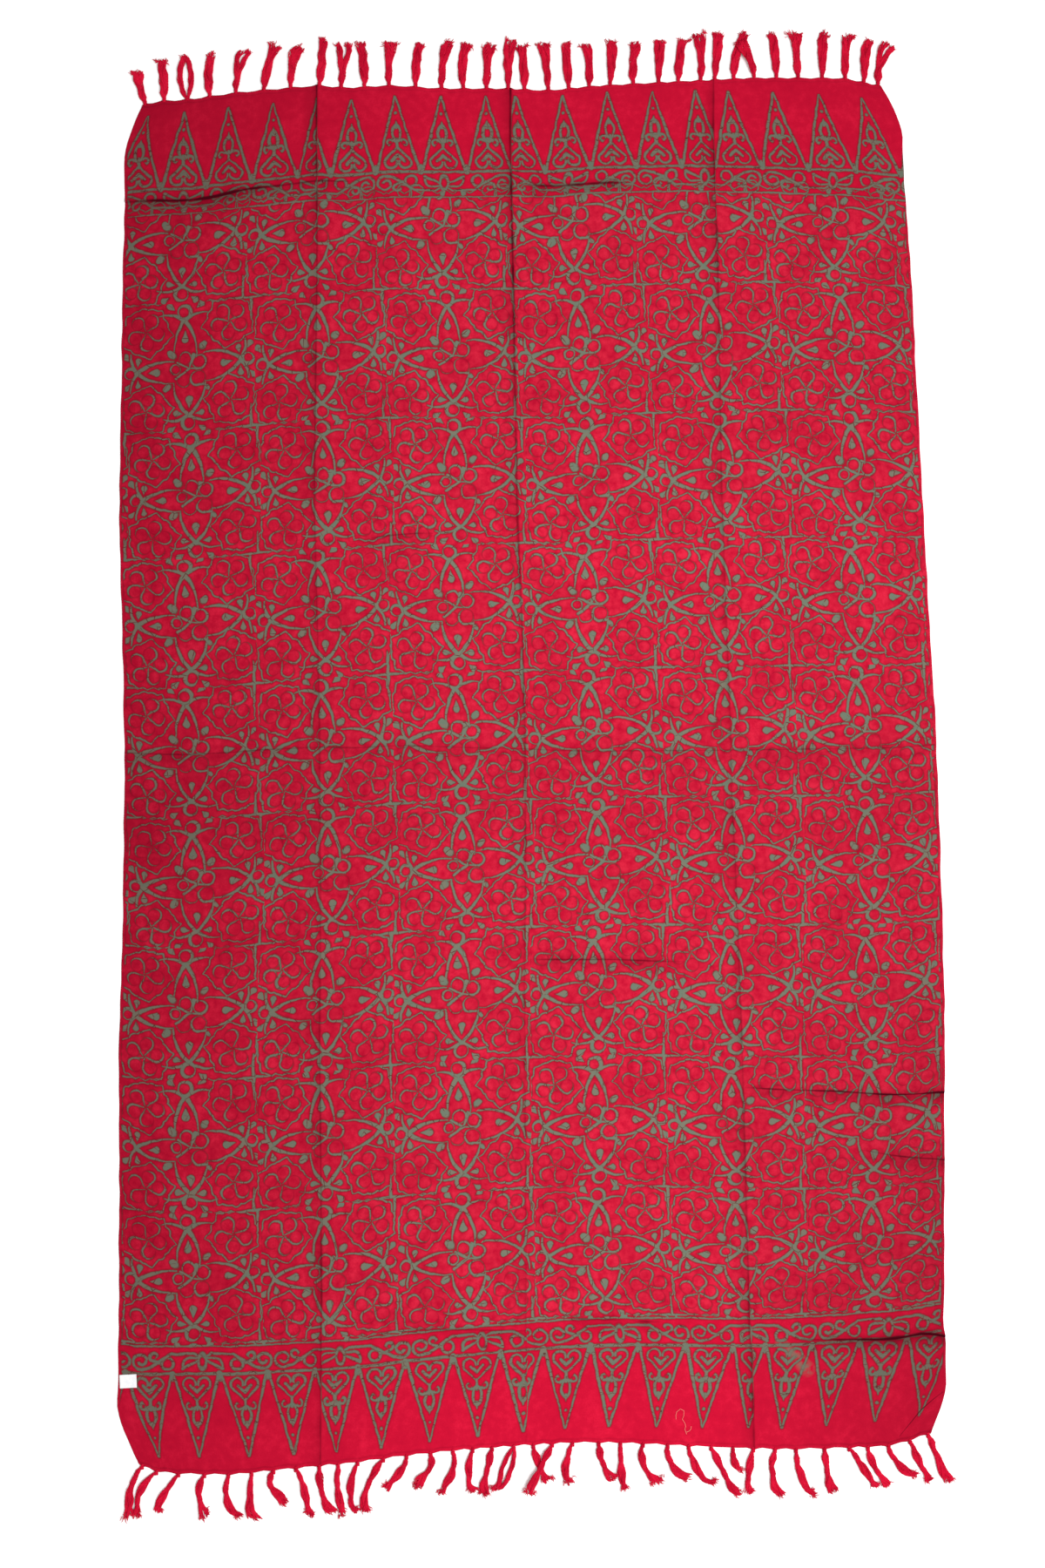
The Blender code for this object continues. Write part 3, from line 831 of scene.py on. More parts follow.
def leaf_strokes(wax, place):
    """Strokes of the nearest leaf, drawn as if it pointed along x from its crossing."""
    x, y, _ = wax.parts(place)
    upright = abs(y).over(abs(x))
    positive = (y - x).times_plus(upright, x).over(0.0)
    crossing = pick_of_four(wax, positive, upright, [leaf[:3] for leaf in LEAVES])
    shape = pick_of_four(wax, positive, upright, [
        (math.radians(leaf.turn), leaf.narrow, leaf.drop_shift) for leaf in LEAVES])
    turn, narrow, drop_shift = wax.parts(shape)
    turned = wax.node("VectorRotate", {"rotation_type": "Z_AXIS", "invert": True}, {
        "Vector": wax.vector("SUBTRACT", place, crossing), "Angle": turn}).outputs[0]
    out, aside, side_gap = wax.parts(turned)
    off_line = abs(aside)
    whole, folded = wax.pair(out, aside), wax.pair(out, off_line)

    round_line = wax.vector("DISTANCE", wax.pair(out, off_line / narrow), LEAF_ARC_CENTRE)
    swell = out.times_plus(1 / 46, 1.0, clamp=True) * LEAF_SWELL
    sides = (abs(round_line - LEAF_ARC_RADIUS) * narrow).most(out).most(LEAF_BASE - out) - swell
    tails = arc(wax, folded, (-25.6, 24), 33.8, 2.7, (1, 0), 23.6)
    tails = tails.most(off_line - upright.times_plus(*TAIL_END))
    curl_place = wax.scaled(whole, upright.times_plus(-0.18, 1.16))
    far_place = wax.pair(upright.times_plus(-5.0, out + 5.0), aside)
    return nearest_of([
        sides - LEAF_WIDTH,
        off_line.times_plus(TAIL_TAPER, tails),
        wax.vector("LENGTH", whole) - 3.7,
        drop(wax, wax.pair(out + drop_shift, aside), (-25.5, 0), (-13, 0), 5.2),
        drop(wax, folded, (-2.5, 17.3), (-1.5, 8.4), 4.3) - side_gap,
        petal_loop(wax, curl_place, (10.6, 0), 8.6, 1.7, (0, -0.9)),
        drop(wax, far_place, (19.5, 20), (14, 13.5), 4.3),
        drop(wax, far_place, (20.5, -24), (15.5, -17), 4.6),
    ])


print(len(LEAVES), "leaves")

# %% The pinwheel flowers and their frames
# Where each corner flower stands, how far it is turned, and the place and size of the drop
# beside it.
Bloom = namedtuple("Bloom", "x y turn drop_x drop_y drop_size")
BLOOMS = (
    Bloom(-60.0, -60.5, 57, -33.2, -30.0, 4.2),
    Bloom(58.0, -50.5, 73, 26.1, -31.2, 2.8),
    Bloom(-61.2, 49.5, 38, -27.4, 20.4, 4.4),
    Bloom(54.8, 57.5, 27, 20.4, 30.6, 3.8),
)
# The frame's points, each an angle from straight outwards and a height over its scallops.
FRAME_POINTS = ((43, 4.0), (127, 5.0), (188, 7.5), (262, 7.0), (332, 5.5))
FRAME_POINT_WIDTH = 14  # degrees to each side of a point
FRAME_POINT_POWER = 1.4
FRAME_SCALLOP = 1.8
FRAME_REACH = 31.0
FRAME_FULL = 42.0
FRAME_WIDTH = 1.15
FRAME_STEP = 4          # degrees between the stops of its chart
PETALS = 5
PETAL_START = math.radians(-16)
BLOOM_DROP_TAPER = -0.42


def frame_reach(angle):
    """How far the wavy frame is from its flower, in millimetres, at an angle in degrees."""
    reach = FRAME_REACH + FRAME_SCALLOP * abs(math.sin(math.radians(angle * 7.5)))
    for point, height in FRAME_POINTS:
        apart = abs((angle - point + 180) % 360 - 180)
        reach += height * max(0.0, 1 - apart / FRAME_POINT_WIDTH) ** FRAME_POINT_POWER
    return reach


def bloom_strokes(wax, place):
    """Strokes of the nearest corner flower, with its five petals folded on to one."""
    x, y, _ = wax.parts(place)
    upper, righter = y.over(0.0), x.over(0.0)
    middle = pick_of_four(wax, righter, upper, [
        (bloom.x, bloom.y, math.radians(bloom.turn)) for bloom in BLOOMS])
    beside = pick_of_four(wax, righter, upper, [bloom[3:] for bloom in BLOOMS])
    local_x, local_y, turn = wax.parts(wax.vector("SUBTRACT", place, middle))
    reach = wax.vector("LENGTH", wax.pair(local_x, local_y))

    x_sign, y_sign = righter.times_plus(2.0, -1.0), upper.times_plus(2.0, -1.0)
    outward_x, outward_y = local_x * x_sign, local_y * y_sign
    angle = outward_y.math("ARCTAN2", outward_x).wrapped(0.0, 2 * math.pi) / (2 * math.pi)
    stops = [(degrees / 360, frame_reach(degrees) / FRAME_FULL)
             for degrees in range(0, 361, FRAME_STEP)]
    frame_line = abs(wax.chart(angle, stops).times_plus(-FRAME_FULL, reach)) - FRAME_WIDTH

    swing = local_y.math("ARCTAN2", local_x) + turn
    swing = swing.wrapped(PETAL_START, PETAL_START + 2 * math.pi / PETALS)
    folded = wax.pair(reach * swing.math("COSINE"), reach * swing.math("SINE"))
    rib = stroke(wax, folded, (2, 0.5), (14, -1.9), 0.7, 1.3)
    petal = petal_loop(wax, folded, (15.2, 6.8), 8.8, 0.3, (0.8, -0.8))

    drop_x, drop_y, drop_size = wax.parts(wax.vector("SUBTRACT", place, beside))
    inward = (drop_x * x_sign + drop_y * y_sign) * BLOOM_DROP_TAPER
    side_drop = wax.vector("LENGTH", wax.pair(drop_x, drop_y)) + drop_size
    return nearest_of([frame_line, rib, petal, side_drop - inward.most(0.0)])


print(len(BLOOMS), "pinwheel flowers of", PETALS, "petals")

# %% The small flower and the corner crosses
SMALL_FLOWER = (
    (stroke, (0, -2), (-17, 7.5), 1.8),
    (stroke, (0, -1), (5.2, 14), 1.4, 3.0),
    (drop, (5.7, 16), (11, 17), 3.6),
    (stroke, (0, -1.5), (16, -3), 1.4),
    (stroke, (-1, -2), (-18.5, -14.5), 2.0),
    (stroke, (7, -24.8), (20.5, -25.2), 1.4, 2.0),
    (petal_loop, (-19.5, -2), 6.8, 1.1, (-0.3, 0)),
    (petal_loop, (-6, 12), 8.6, 0.9, (0.3, 0.5)),
    (petal_loop, (13.5, 6.6), 9.0, 1.2, (0.5, -0.2)),
    (petal_loop, (12, -15.5), 10.2, 0.9, (-0.6, -0.5)),
    (petal_loop, (-8, -17), 9.5, 0.2, (0, -0.5)),
)
CROSS = (
    (stroke, (0, 0), (0, 30), 2.3, 0.8),
    (stroke, (0, 0), (24, 0), 2.2, 0.8),
)


def cross_strokes(wax, x, y):
    """Crosses where four stamps meet; x and y are measured from the middle of the cross."""
    side = abs(x)
    wave = side.math("PINGPONG", 7.5).times_plus(0.4, y - 1.5)
    return nearest_of([
        *drawn(wax, wax.pair(side, abs(y)), CROSS),
        stroke(wax, wax.pair(side, wave), (24, 0), (60, 0), 0.9),
    ])


print(len(SMALL_FLOWER), "strokes in the small flower")

# %% Lay the field stamps side by side
STAMP_WIDTH = 183.0
STAMP_HEIGHT = 177.0
WINDOW_ACROSS = -1.2    # middle of the stamp, from its small flower
WINDOW_ALONG = -1.0
CROSS_ACROSS = 5.0      # how far inside the stamp's edges its corner crosses stand
STAMP_ACROSS = 95.0     # printed place of the first stamp's small flower
STAMP_ALONG = 247.0
STAMP_CHANCE = 3        # each stamp may be this far out of place, from side to side
# How far each row of stamps stands out of line, across and along, from the foot up.
ROW_SLIPS = ((5, 7), (0, 1), (-1, 2), (5, -1), (-2, -4), (-2, -1), (9, -4), (0, -3), (-12, 4))
SLIP_FULL = 30.0
ROW_SHARE = 0.1         # of the slips' chart, to each row


def in_line(wax, value, row, first, way):
    """A value without its row's slip in one way; the chart gives the first row at first."""
    stops = [(ROW_SHARE + ROW_SHARE * number, 0.5 + slip[way] / SLIP_FULL)
             for number, slip in enumerate(ROW_SLIPS)]
    slip = wax.chart(row.times_plus(ROW_SHARE, first), stops)
    return slip.times_plus(-SLIP_FULL, value + SLIP_FULL / 2)


def field_print(wax, across, along):
    """Distance to the field's wax, with each stamp a little out of place."""
    half_width, half_height = STAMP_WIDTH / 2, STAMP_HEIGHT / 2
    u = across - (STAMP_ACROSS + WINDOW_ACROSS - half_width)
    v = along - (STAMP_ALONG + WINDOW_ALONG - half_height)
    v = in_line(wax, v, v / STAMP_HEIGHT, ROW_SHARE / 2, 1)
    row = math.floor(v / STAMP_HEIGHT)
    u = in_line(wax, u, row, ROW_SHARE, 0)
    column = math.floor(u / STAMP_WIDTH)
    chance = wax.chance(wax.pair(column, row), "Color")
    aim = wax.vector("MULTIPLY_ADD", chance, (STAMP_CHANCE, STAMP_CHANCE, 0), (
        WINDOW_ACROSS - half_width - STAMP_CHANCE / 2,
        WINDOW_ALONG - half_height - STAMP_CHANCE / 2, 0))
    in_x = column.times_plus(-STAMP_WIDTH, u)
    in_y = row.times_plus(-STAMP_HEIGHT, v)
    place = wax.vector("ADD", wax.pair(in_x, in_y), aim)
    return nearest_of([
        leaf_strokes(wax, place),
        bloom_strokes(wax, place),
        nearest_of(drawn(wax, place, SMALL_FLOWER)),
        cross_strokes(wax, (in_x + CROSS_ACROSS).wrapped(-half_width, half_width),
                      in_y.wrapped(-half_height, half_height)),
    ])


print("field stamp:", STAMP_WIDTH, "x", STAMP_HEIGHT, "mm")

# %% [markdown]
# ## The border stamps
#
# Both ends carry the same border, turned so that its triangles point to the fringe: a row of
# long triangles, each with a heart, two curls, a bud and a dot, over a band of scrolls that grow
# from a hanging flower. The drawing is the same on both sides of each triangle and each flower,
# so folding the cloth on their middle lines halves the strokes.

# %% The triangles
TRIANGLE_PITCH = 61.55
TRIANGLE_HALF = 29.4
TRIANGLE_HEIGHT = 106.0
TRIANGLE = (
    (stroke, (TRIANGLE_HALF, 0), (0.5, TRIANGLE_HEIGHT), 2.1, 1.5),
    (stroke, (TRIANGLE_PITCH / 2, 0), (TRIANGLE_PITCH / 2, 8), 4.0, 2.4),
    (arc, (9.6, 13.4), 8.2, 1.7, (0.35, -1), -4.8),
    (stroke, (16.8, 17.4), (0.8, 34), 1.7, 1.5),
    (stroke, (8.4, 15.5), (0, 23.5), 2.0, 2.7),
    (stroke, (0, 33), (0, 46), 2.0, 2.4),
    (arc, (9.4, 41.5), 4.1, 1.8, (1, 0.7), -2.4),
    (stroke, (0, 42), (7.5, 46), 2.6, 1.7),
    (arc, (-11.5, 54.5), 17.4, 2.0, (1, 0), 11.0),
    (stroke, (0, 64), (0, 72), 3.0, 0.6),
)
DOT_HEIGHT = 83


def triangle_strokes(wax, x, y):
    """Strokes of one triangle, from its middle line and its base line."""
    return nearest_of([
        abs(y) - 1.9,
        *drawn(wax, wax.pair(abs(x), y), TRIANGLE),
        wax.vector("LENGTH", wax.pair(x, y - DOT_HEIGHT)) - 2.2,
    ])


print(len(TRIANGLE) + 2, "strokes in a triangle")

# %% The scroll band
BAND_HEIGHT = 36.0
BAND = (
    (stroke, (6, 16.5), (25.5, 7), 1.3, 2.0),
    (arc, (16.5, 11.5), 9.4, 1.4, (0.8, 0.6), 2.6),
    (stroke, (5.5, 20.5), (17, 21), 1.2, 1.4),
    (stroke, (6, 23.5), (12, 26.5), 1.2, 1.5),
    (stroke, (12, 26.5), (40, 26), 1.4, 1.5),
    (stroke, (40, 26), (54, 17), 1.5, 1.8),
    (arc, (45, 13), 7.4, 1.5, (-0.42, -0.9), -5.8),
    (stroke, (54, 17), (69, 8), 1.7, 1.6),
    (stroke, (69, 8), (79, 6), 1.6, 1.7),
    (arc, (80.6, 15.4), 9.4, 1.6, (0.87, 0.5), -6.4),
    (arc, (78.4, 17.6), 5.2, 1.5, (-0.22, -0.97), 0.8),
    (stroke, (56, 14.5), (65, 17.6), 1.8, 1.6),
    (arc, (64, 22.4), 4.8, 1.6, (0.57, 0.82), -2.7),
)
BAND_SPREAD = 0.25      # how much heavier the band is printed
BUD_WIDTH = 5.4         # half the hanging flower's width and height
BUD_HEIGHT = 9.8
OVERPRINT = (
    (arc, (9.5, 27), 8.4, 1.0, (1, -0.4), -3.0),
    (stroke, (0, 21), (13, 18.8), 0.7, 1.2),
    (stroke, (0.5, 22), (1.5, 36), 1.0, 1.2),
)
OVERPRINT_FOLD = 58     # its strokes lie on both sides of this line, beside a small flower


def band_strokes(wax, x, y):
    """Strokes of the band, from a flower's middle line and down from the base line."""
    bud = wax.vector("LENGTH", wax.pair(x / BUD_WIDTH, (y - 15.5) / BUD_HEIGHT))
    return nearest_of([
        abs(y - BAND_HEIGHT) - 1.1,
        abs(bud - 1) * BUD_WIDTH - 1.4,
        *drawn(wax, wax.pair(abs(x), y), BAND),
    ]) - BAND_SPREAD


def overprint_strokes(wax, x, y):
    """What the last row of field stamps leaves in the band, from a small flower's middle."""
    return nearest_of([
        *drawn(wax, wax.pair(abs(abs(x) - OVERPRINT_FOLD), y), OVERPRINT),
        abs(x.math("PINGPONG", 11.0).times_plus(0.6, y - 31)) - 1.0,
        drop(wax, wax.pair(abs(x), y), (14, 31), (9, 25), 4.2),
    ])


print(len(BAND) + 2, "strokes in half of the band")

# %% Both borders at once
HEAD_BASE = 1740.0      # printed place of the base line of each end's triangles
FOOT_BASE = 127.0
# The middle of each end's first triangle on its base line, how far it leans to the right, as a
# share of its height, what each millimetre across adds to the lean, and how far the band's
# flowers are shifted against the triangles.
Border = namedtuple("Border", "first lean lean_rise band_shift")
AT_HEAD = Border(18.0, 0.01, -0.00013, -TRIANGLE_PITCH)
AT_FOOT = Border(40.0, 0.09, -0.00021, -8.0 - TRIANGLE_PITCH)
LEAN_CHANCE = 0.05
NO_OVERPRINT = 20.0     # pushes the overprint out of sight at the foot


def border_print(wax, across, out, at_head):
    """Distance to the wax of both borders; out is measured from each base line to the hem."""
    first, lean, lean_rise, band_shift = (
        at_head.times_plus(head - foot, foot) for head, foot in zip(AT_HEAD, AT_FOOT))
    lean = across.times_plus(lean_rise, lean)
    from_first = across - first
    u = from_first - out * lean
    number = math.floor(u / TRIANGLE_PITCH + 0.5)
    x = number.times_plus(-TRIANGLE_PITCH, u)
    chance = wax.chance(wax.pair(number, at_head))
    x = out.times_plus(chance.times_plus(LEAN_CHANCE, -LEAN_CHANCE / 2), x)

    flower_pitch = 3 * TRIANGLE_PITCH
    band_x = (from_first + band_shift).wrapped(-flower_pitch / 2, flower_pitch / 2)
    band = band_strokes(wax, band_x, out * -1)
    stamp_x = (across - STAMP_ACROSS).wrapped(-STAMP_WIDTH / 2, STAMP_WIDTH / 2)
    over_band = overprint_strokes(wax, stamp_x, out * -1).most(out + 12)
    over_band = at_head.times_plus(-NO_OVERPRINT, over_band + NO_OVERPRINT)
    return triangle_strokes(wax, x, out).least(band).least(over_band)


print("border stamp:", TRIANGLE_PITCH, "mm to a triangle")

# %% [markdown]
# ## Wax, dye and weave
#
# Batik is never clean. The dye creeps under the wax, so each line has a dark uneven rim; the wax
# cracks as the cloth is crumpled in the vat, and dye runs through the cracks; and the red itself
# is cloudy where the folds took more or less of it. All of it is colour, so it comes from noise
# and cracked cells, over a weave that only the light sees.

# %% The cloudy red
RED = srgb(189, 12, 46)
BRIGHT_RED = srgb(214, 24, 58)
DEEP_RED = srgb(160, 1, 37)
PALE_RED = srgb(208, 46, 67)
DEEP_DEPTH = (0.45, 0.0)        # depths where the dye is deepest, and where it is plain
BRIGHT_DEPTH = (-0.35, 0.0)
DEEP_SHARE = 0.6
# The pale specks are partly the cloth's own and partly a painted sheen, which fades towards the
# darker left side.
PALE_SPECKS = (0.2, 0.8)
PALE_REACH = (440.0, 0.0)       # the pale specks grow from the left selvedge to here
Clouds = namedtuple("Clouds", "broad specks fine")
CLOUD_SCALES = ((0.018, 3.0), (0.1, 2.0), (0.45, 1.0))  # lumps to a millimetre, and detail


def dyed_ground(cloth, clouds, across, in_field):
    """The red of the cloth before any wax, with pale specks that are partly a painted sheen."""
    depth = clouds.broad.times_plus(0.9, clouds.specks.times_plus(0.9, clouds.fine * 0.4)) - 1.1
    depth = depth * in_field.times_plus(0.5, 0.5)
    ground = cloth.blend(depth.fading(*DEEP_DEPTH) * DEEP_SHARE, RED, DEEP_RED)
    ground = cloth.blend(depth.fading(*BRIGHT_DEPTH), ground, BRIGHT_RED)
    # pale specks, partly a painted sheen: stronger in the field and away from the left selvedge
    sheen_and_specks = in_field * across.fading(*PALE_REACH).times_plus(0.35, 0.12)
    return cloth.blend(clouds.specks.fading(*PALE_SPECKS) * sheen_and_specks, ground, PALE_RED)


print("dye colours are ready")

# %% [markdown]
# ## Painted shade
#
# The grid already holds how dark each fold's painted shadow is, as an attribute. The whole cloth
# also gets painted shade: it darkens softly towards its sides and ends and away from its middle,
# with one band of painted shade and one of painted light across its middle, and the field is a
# little darker. Light alone can't show that on cloth so flat, so each is a fading of its own.

# %% Where the cloth is darker
# Each painted shading says where it is full, where it ends, and how much of it there is.
PaintedShading = namedtuple("PaintedShading", "full none amount")
# Painted shade: the cloth is painted darker towards its left side, its right side (more at the
# foot), its head and its foot, and away from its middle.
LEFT_PAINTED_SHADE = PaintedShading(0.0, 440.0, 0.31)
RIGHT_PAINTED_SHADE = PaintedShading(1105.0, 780.0, (0.3, 0.08))   # more at the foot, and everywhere
HEAD_PAINTED_SHADE = PaintedShading(1860.0, 1640.0, 0.1)
FOOT_PAINTED_SHADE = PaintedShading(230.0, 0.0, 0.03)
# The whole field is darkened by this much.
FIELD_DARKENING = 0.06
MIDDLE = (670, 1090, 0)
MIDDLE_PAINTED_SHADE = PaintedShading(700.0, 150.0, 0.04)
# Across the middle lie a band of painted shade and a band of painted light.
DARK_BAND = 860
DARK_BAND_PAINTED_SHADE = PaintedShading(0.0, 120.0, 0.07)
LIGHT_BAND = 1190
LIGHT_BAND_PAINTED_LIGHT = PaintedShading(0.0, 190.0, 0.05)
FOLD_SHARE = 0.9        # of a fold's own shade
# A painted dark line for the shadow of a crease across the right corner of the foot; the cloth has
# no relief there.
PAINTED_CREASE_SHADOW = (
    (stroke, (1049, -2), (1076, 28), 0.3, 0.8),
    (stroke, (1076, 28), (1102, 46), 0.8, 0.3),
)
CREASE_EDGE = (-0.6, 0.4)
CREASE_SHADE = 0.7


# One painted fading along a measure, full at one place and gone at another: painted shade, and
# painted light where it is taken away.
def painted_fading(measure, shading):
    return measure.fading(shading.full, shading.none) * shading.amount


def cloth_shade(cloth, straight, across, along, in_field):
    """Painted shade: how much darker each place is painted than flat, evenly lit cloth."""
    # painted shadows of the folds, read from the grid
    folds = cloth.value("Attribute", {"attribute_name": "fold_shade"}, output="Fac")
    # the corner crease's painted shadow line
    crease = nearest_of(drawn(cloth, straight, PAINTED_CREASE_SHADOW))
    folds = folds.most(crease.fading(*CREASE_EDGE) * CREASE_SHADE)
    at_foot = along.fading(0.0, 900.0).times_plus(*RIGHT_PAINTED_SHADE.amount)
    from_middle = cloth.vector("DISTANCE", straight, MIDDLE)
    # broad painted shade and painted light, and the darker field
    whole = painted_fading(across, LEFT_PAINTED_SHADE)
    whole += painted_fading(across, RIGHT_PAINTED_SHADE._replace(amount=at_foot))
    whole += painted_fading(along, HEAD_PAINTED_SHADE)
    whole += painted_fading(along, FOOT_PAINTED_SHADE)
    whole += in_field * FIELD_DARKENING
    whole += painted_fading(from_middle, MIDDLE_PAINTED_SHADE)
    whole += painted_fading(abs(along - DARK_BAND), DARK_BAND_PAINTED_SHADE)
    whole -= painted_fading(abs(along - LIGHT_BAND), LIGHT_BAND_PAINTED_LIGHT)
    return folds.times_plus(FOLD_SHARE, whole)


print("wear at the left selvedge:", LEFT_PAINTED_SHADE.amount)

# %% [markdown]
# ## The finished cloth
#
# Field and border never share a stroke, so each has a shader of its own and a mixer picks one.
# Blender then skips the other's sums, and the print takes half the time. The threads of the
# weave are far finer than the grid, so they are bump: long thin noise one way and the other.

# %% Rims, cracks and threads
HALO = srgb(118, 4, 30)
GREY_GREEN = srgb(103, 117, 101)
WARM_GREY = srgb(115, 115, 99)
RIM = srgb(88, 62, 52)
CRACK = srgb(76, 28, 30)
# The dark red that painted shade blends towards; it also darkens the border's lines.
SHADE_AND_INK_DARK = srgb(60, 0, 12)
HALO_EDGE = (0.3, 2.0)          # from the wax's edge: where the halo is full, and where it ends
RIM_EDGE = (-1.1, -0.2)         # where the line has its own colour, and where only its rim's
WAX_EDGE = (-0.6, 0.5)          # where there is only wax, and where only dye
HALO_SHARE = 0.5
CRACK_SHARE = 0.85
STAIN_SHARE = 0.8
CELL_WIDTH = 12                 # of the wax between its cracks
THREAD = (2.2, 0.12)            # lumps to a millimetre, across a thread and along it


def cracks_in_wax(cloth, place, clouds, out):
    """Cracks of the field's wax, and of the border's, which has more of them."""
    cells = cloth.value(
        "TexVoronoi", {"voronoi_dimensions": "2D", "feature": "DISTANCE_TO_EDGE"},
        {"Vector": place, "Scale": 1 / CELL_WIDTH})
    cracked = cells.fading(0.02, 0.07) * clouds.specks.fading(0.65, 0.4)
    ticks = clouds.specks.times_plus(14.0, out).math("PINGPONG", 4.0)
    ticks = ticks.fading(0.3, 0.85) * clouds.specks.fading(0.62, 0.42)
    return cracked, ticks.most(cracked * 0.6)


def weave_bump(cloth, straight):
    warp, weft = (
        cloth.cloudy(cloth.vector("MULTIPLY", straight, (*scales, 1)), 1.0)
        for scales in (THREAD, THREAD[::-1]))
    return cloth.bump(warp + weft, 0.25, 0.0004)


print("rims, cracks and threads are ready")

# %% The printed rayon
WOBBLE = 2.6            # how far the strokes waver, from side to side
WOBBLE_LUMPS = 0.075
CREEP = 0.2             # how far the lines have spread
PLAIN_EDGE = 4.0        # wax along the selvedges
STAIN = ((892, 130), (926, 94), 5.0, 7.0)
BORDER_DARK = 0.16      # how much darker the border's lines are than the field's


def printed_rayon():
    cloth = Finish("printed_rayon")
    cut = cloth.node("UVMap", {"uv_map": "cut"}).outputs[0]
    straight = cloth.scaled(cut, 1 / MM)
    wobble = cloth.cloudy(straight, WOBBLE_LUMPS, output="Color")
    place = cloth.vector("ADD", straight, cloth.vector(
        "MULTIPLY_ADD", wobble, (WOBBLE, WOBBLE, 0), (-WOBBLE / 2, -WOBBLE / 2, 0)))
    across, along, _ = cloth.parts(place)
    at_head = along.over(CUT_LENGTH / 2)
    out = abs(along - (HEAD_BASE + FOOT_BASE) / 2) - (HEAD_BASE - FOOT_BASE) / 2
    in_field = (-BAND_HEIGHT - out).over(0.0)
    closing_line = abs(out + BAND_HEIGHT) - 1.1
    plain_edge = PLAIN_EDGE - across.least(CUT_WIDTH - across)

    clouds = Clouds(*(cloth.cloudy(straight, *scale) for scale in CLOUD_SCALES))
    ground = dyed_ground(cloth, clouds, across, in_field)
    field_cracks, border_cracks = cracks_in_wax(cloth, place, clouds, out)
    press = clouds.broad.times_plus(2.2, clouds.fine * 0.9) - (1.55 + CREEP)
    line = cloth.blend(clouds.specks.fading(0.6, 0.4), GREY_GREEN, WARM_GREY)
    stain = stroke(cloth, straight, *STAIN).fading(-4.0, 4.0) * clouds.specks.fading(0.6, 0.35)
    # painted shade of the folds, and broad painted shade and light
    shade = cloth_shade(cloth, straight, across, along, in_field)
    weave = weave_bump(cloth, straight)

    border_shader = cloth.node("BsdfPrincipled")
    field = field_print(cloth, across, along).least(closing_line)
    border = border_print(cloth, across, out, at_head)
    for shader, wax, cracks, pale in (
        (cloth.shader, field, field_cracks, line),
        (border_shader, border, border_cracks, cloth.blend(BORDER_DARK, line, SHADE_AND_INK_DARK)),
    ):
        edge = wax.most(plain_edge) + press
        near = cloth.blend(edge.fading(*HALO_EDGE) * HALO_SHARE, ground, HALO)
        waxed = cloth.blend(edge.fading(*RIM_EDGE), RIM, pale)
        waxed = cloth.blend(cracks * CRACK_SHARE, waxed, CRACK)
        colour = cloth.blend(edge.fading(*WAX_EDGE), near, waxed)
        colour = cloth.blend(stain * STAIN_SHARE, colour, pale) if wax is border else colour
        # painted shade darkens the colour towards a dark red
        cloth.set(shader, {
            "Base Color": cloth.blend(shade, colour, SHADE_AND_INK_DARK),
            "Roughness": 0.7,
            "Normal": weave,
            "Specular IOR Level": 0.03,
        })
    both = cloth.node("MixShader", inputs={
        0: in_field, 1: border_shader.outputs[0], 2: cloth.shader.outputs[0]})
    cloth.set(cloth.output, {"Surface": both.outputs[0]})
    return cloth.material


rayon = printed_rayon()
panel.data.materials.append(rayon)
print("printed rayon:", len(rayon.node_tree.nodes), "nodes")

# %% [markdown]
# ## Yarn
#
# A tassel is a loose bunch of yarns, narrow at its knot, flat and full in the middle, and frayed
# at its end. One yarn is one spline with a round bevel. All yarns of a fringe share one curve
# object, which becomes a mesh at the end, so that thousands of yarns cost little work. A hair
# system could fill it too, but here each tassel bows, leans and forks in its own way.

# %% A tassel's middle and the sides of its locks
# How full a fringe's tassels are, how much they widen towards the tip, how tightly and how often
# their locks turn round one another, and how far their tips hook to the side.
Style = namedtuple("Style", "fullness spread ply turns hook")
HEAD_STYLE = Style(0.92, 2.3, 0.3, 2.0, 4)
FOOT_STYLE = Style(0.8, 1.0, 0.65, 2.9, 8)
OPEN_LOOPS = (86, 528)  # roots of the tassels whose locks meet again at the tip
LOOP_WIDTH = 2.4
FORKED_SPLAY = 10       # a tassel whose locks part more than this is forked from early on
ROPE_WIDTH = 5.0


def middle_line(tassel, root, away, share):
    """A tassel's middle line in plan: a parabola through its root, bow and tip."""
    bulge = (tassel.bow - tassel.lean / 2) * 4 * share * (1 - share)
    return Vector((root.x + tassel.lean * share + bulge, root.y + away * tassel.reach * share))


def rope_turn(tassel, style, share):
    """How far a tassel's locks have turned round one another."""
    return math.pi * (tassel.root / 37 + style.turns * share)


def lock_aside(tassel, style, place, share):
    """How far a lock's middle lies to the side of its tassel's middle line."""
    if tassel.root in OPEN_LOOPS:
        bulge = math.sin(math.pi * min(share, 1.0)) ** 0.7
        return place * tassel.splay * LOOP_WIDTH * bulge
    forked = tassel.splay > FORKED_SPLAY
    fork = (tassel.splay - 4) * ease(share, 0.2 if forked else 0.5, 1.0)
    apart = 1 - style.ply + style.ply * math.cos(rope_turn(tassel, style, share))
    rope = (ROPE_WIDTH + style.spread * share) * apart * ease(share, 0.03, 0.2)
    return place * (fork + rope * (1 - ease(share, 0.15, 0.4) * forked))


print("turns of a rope of locks:", HEAD_STYLE.turns / 2, "and", FOOT_STYLE.turns / 2)

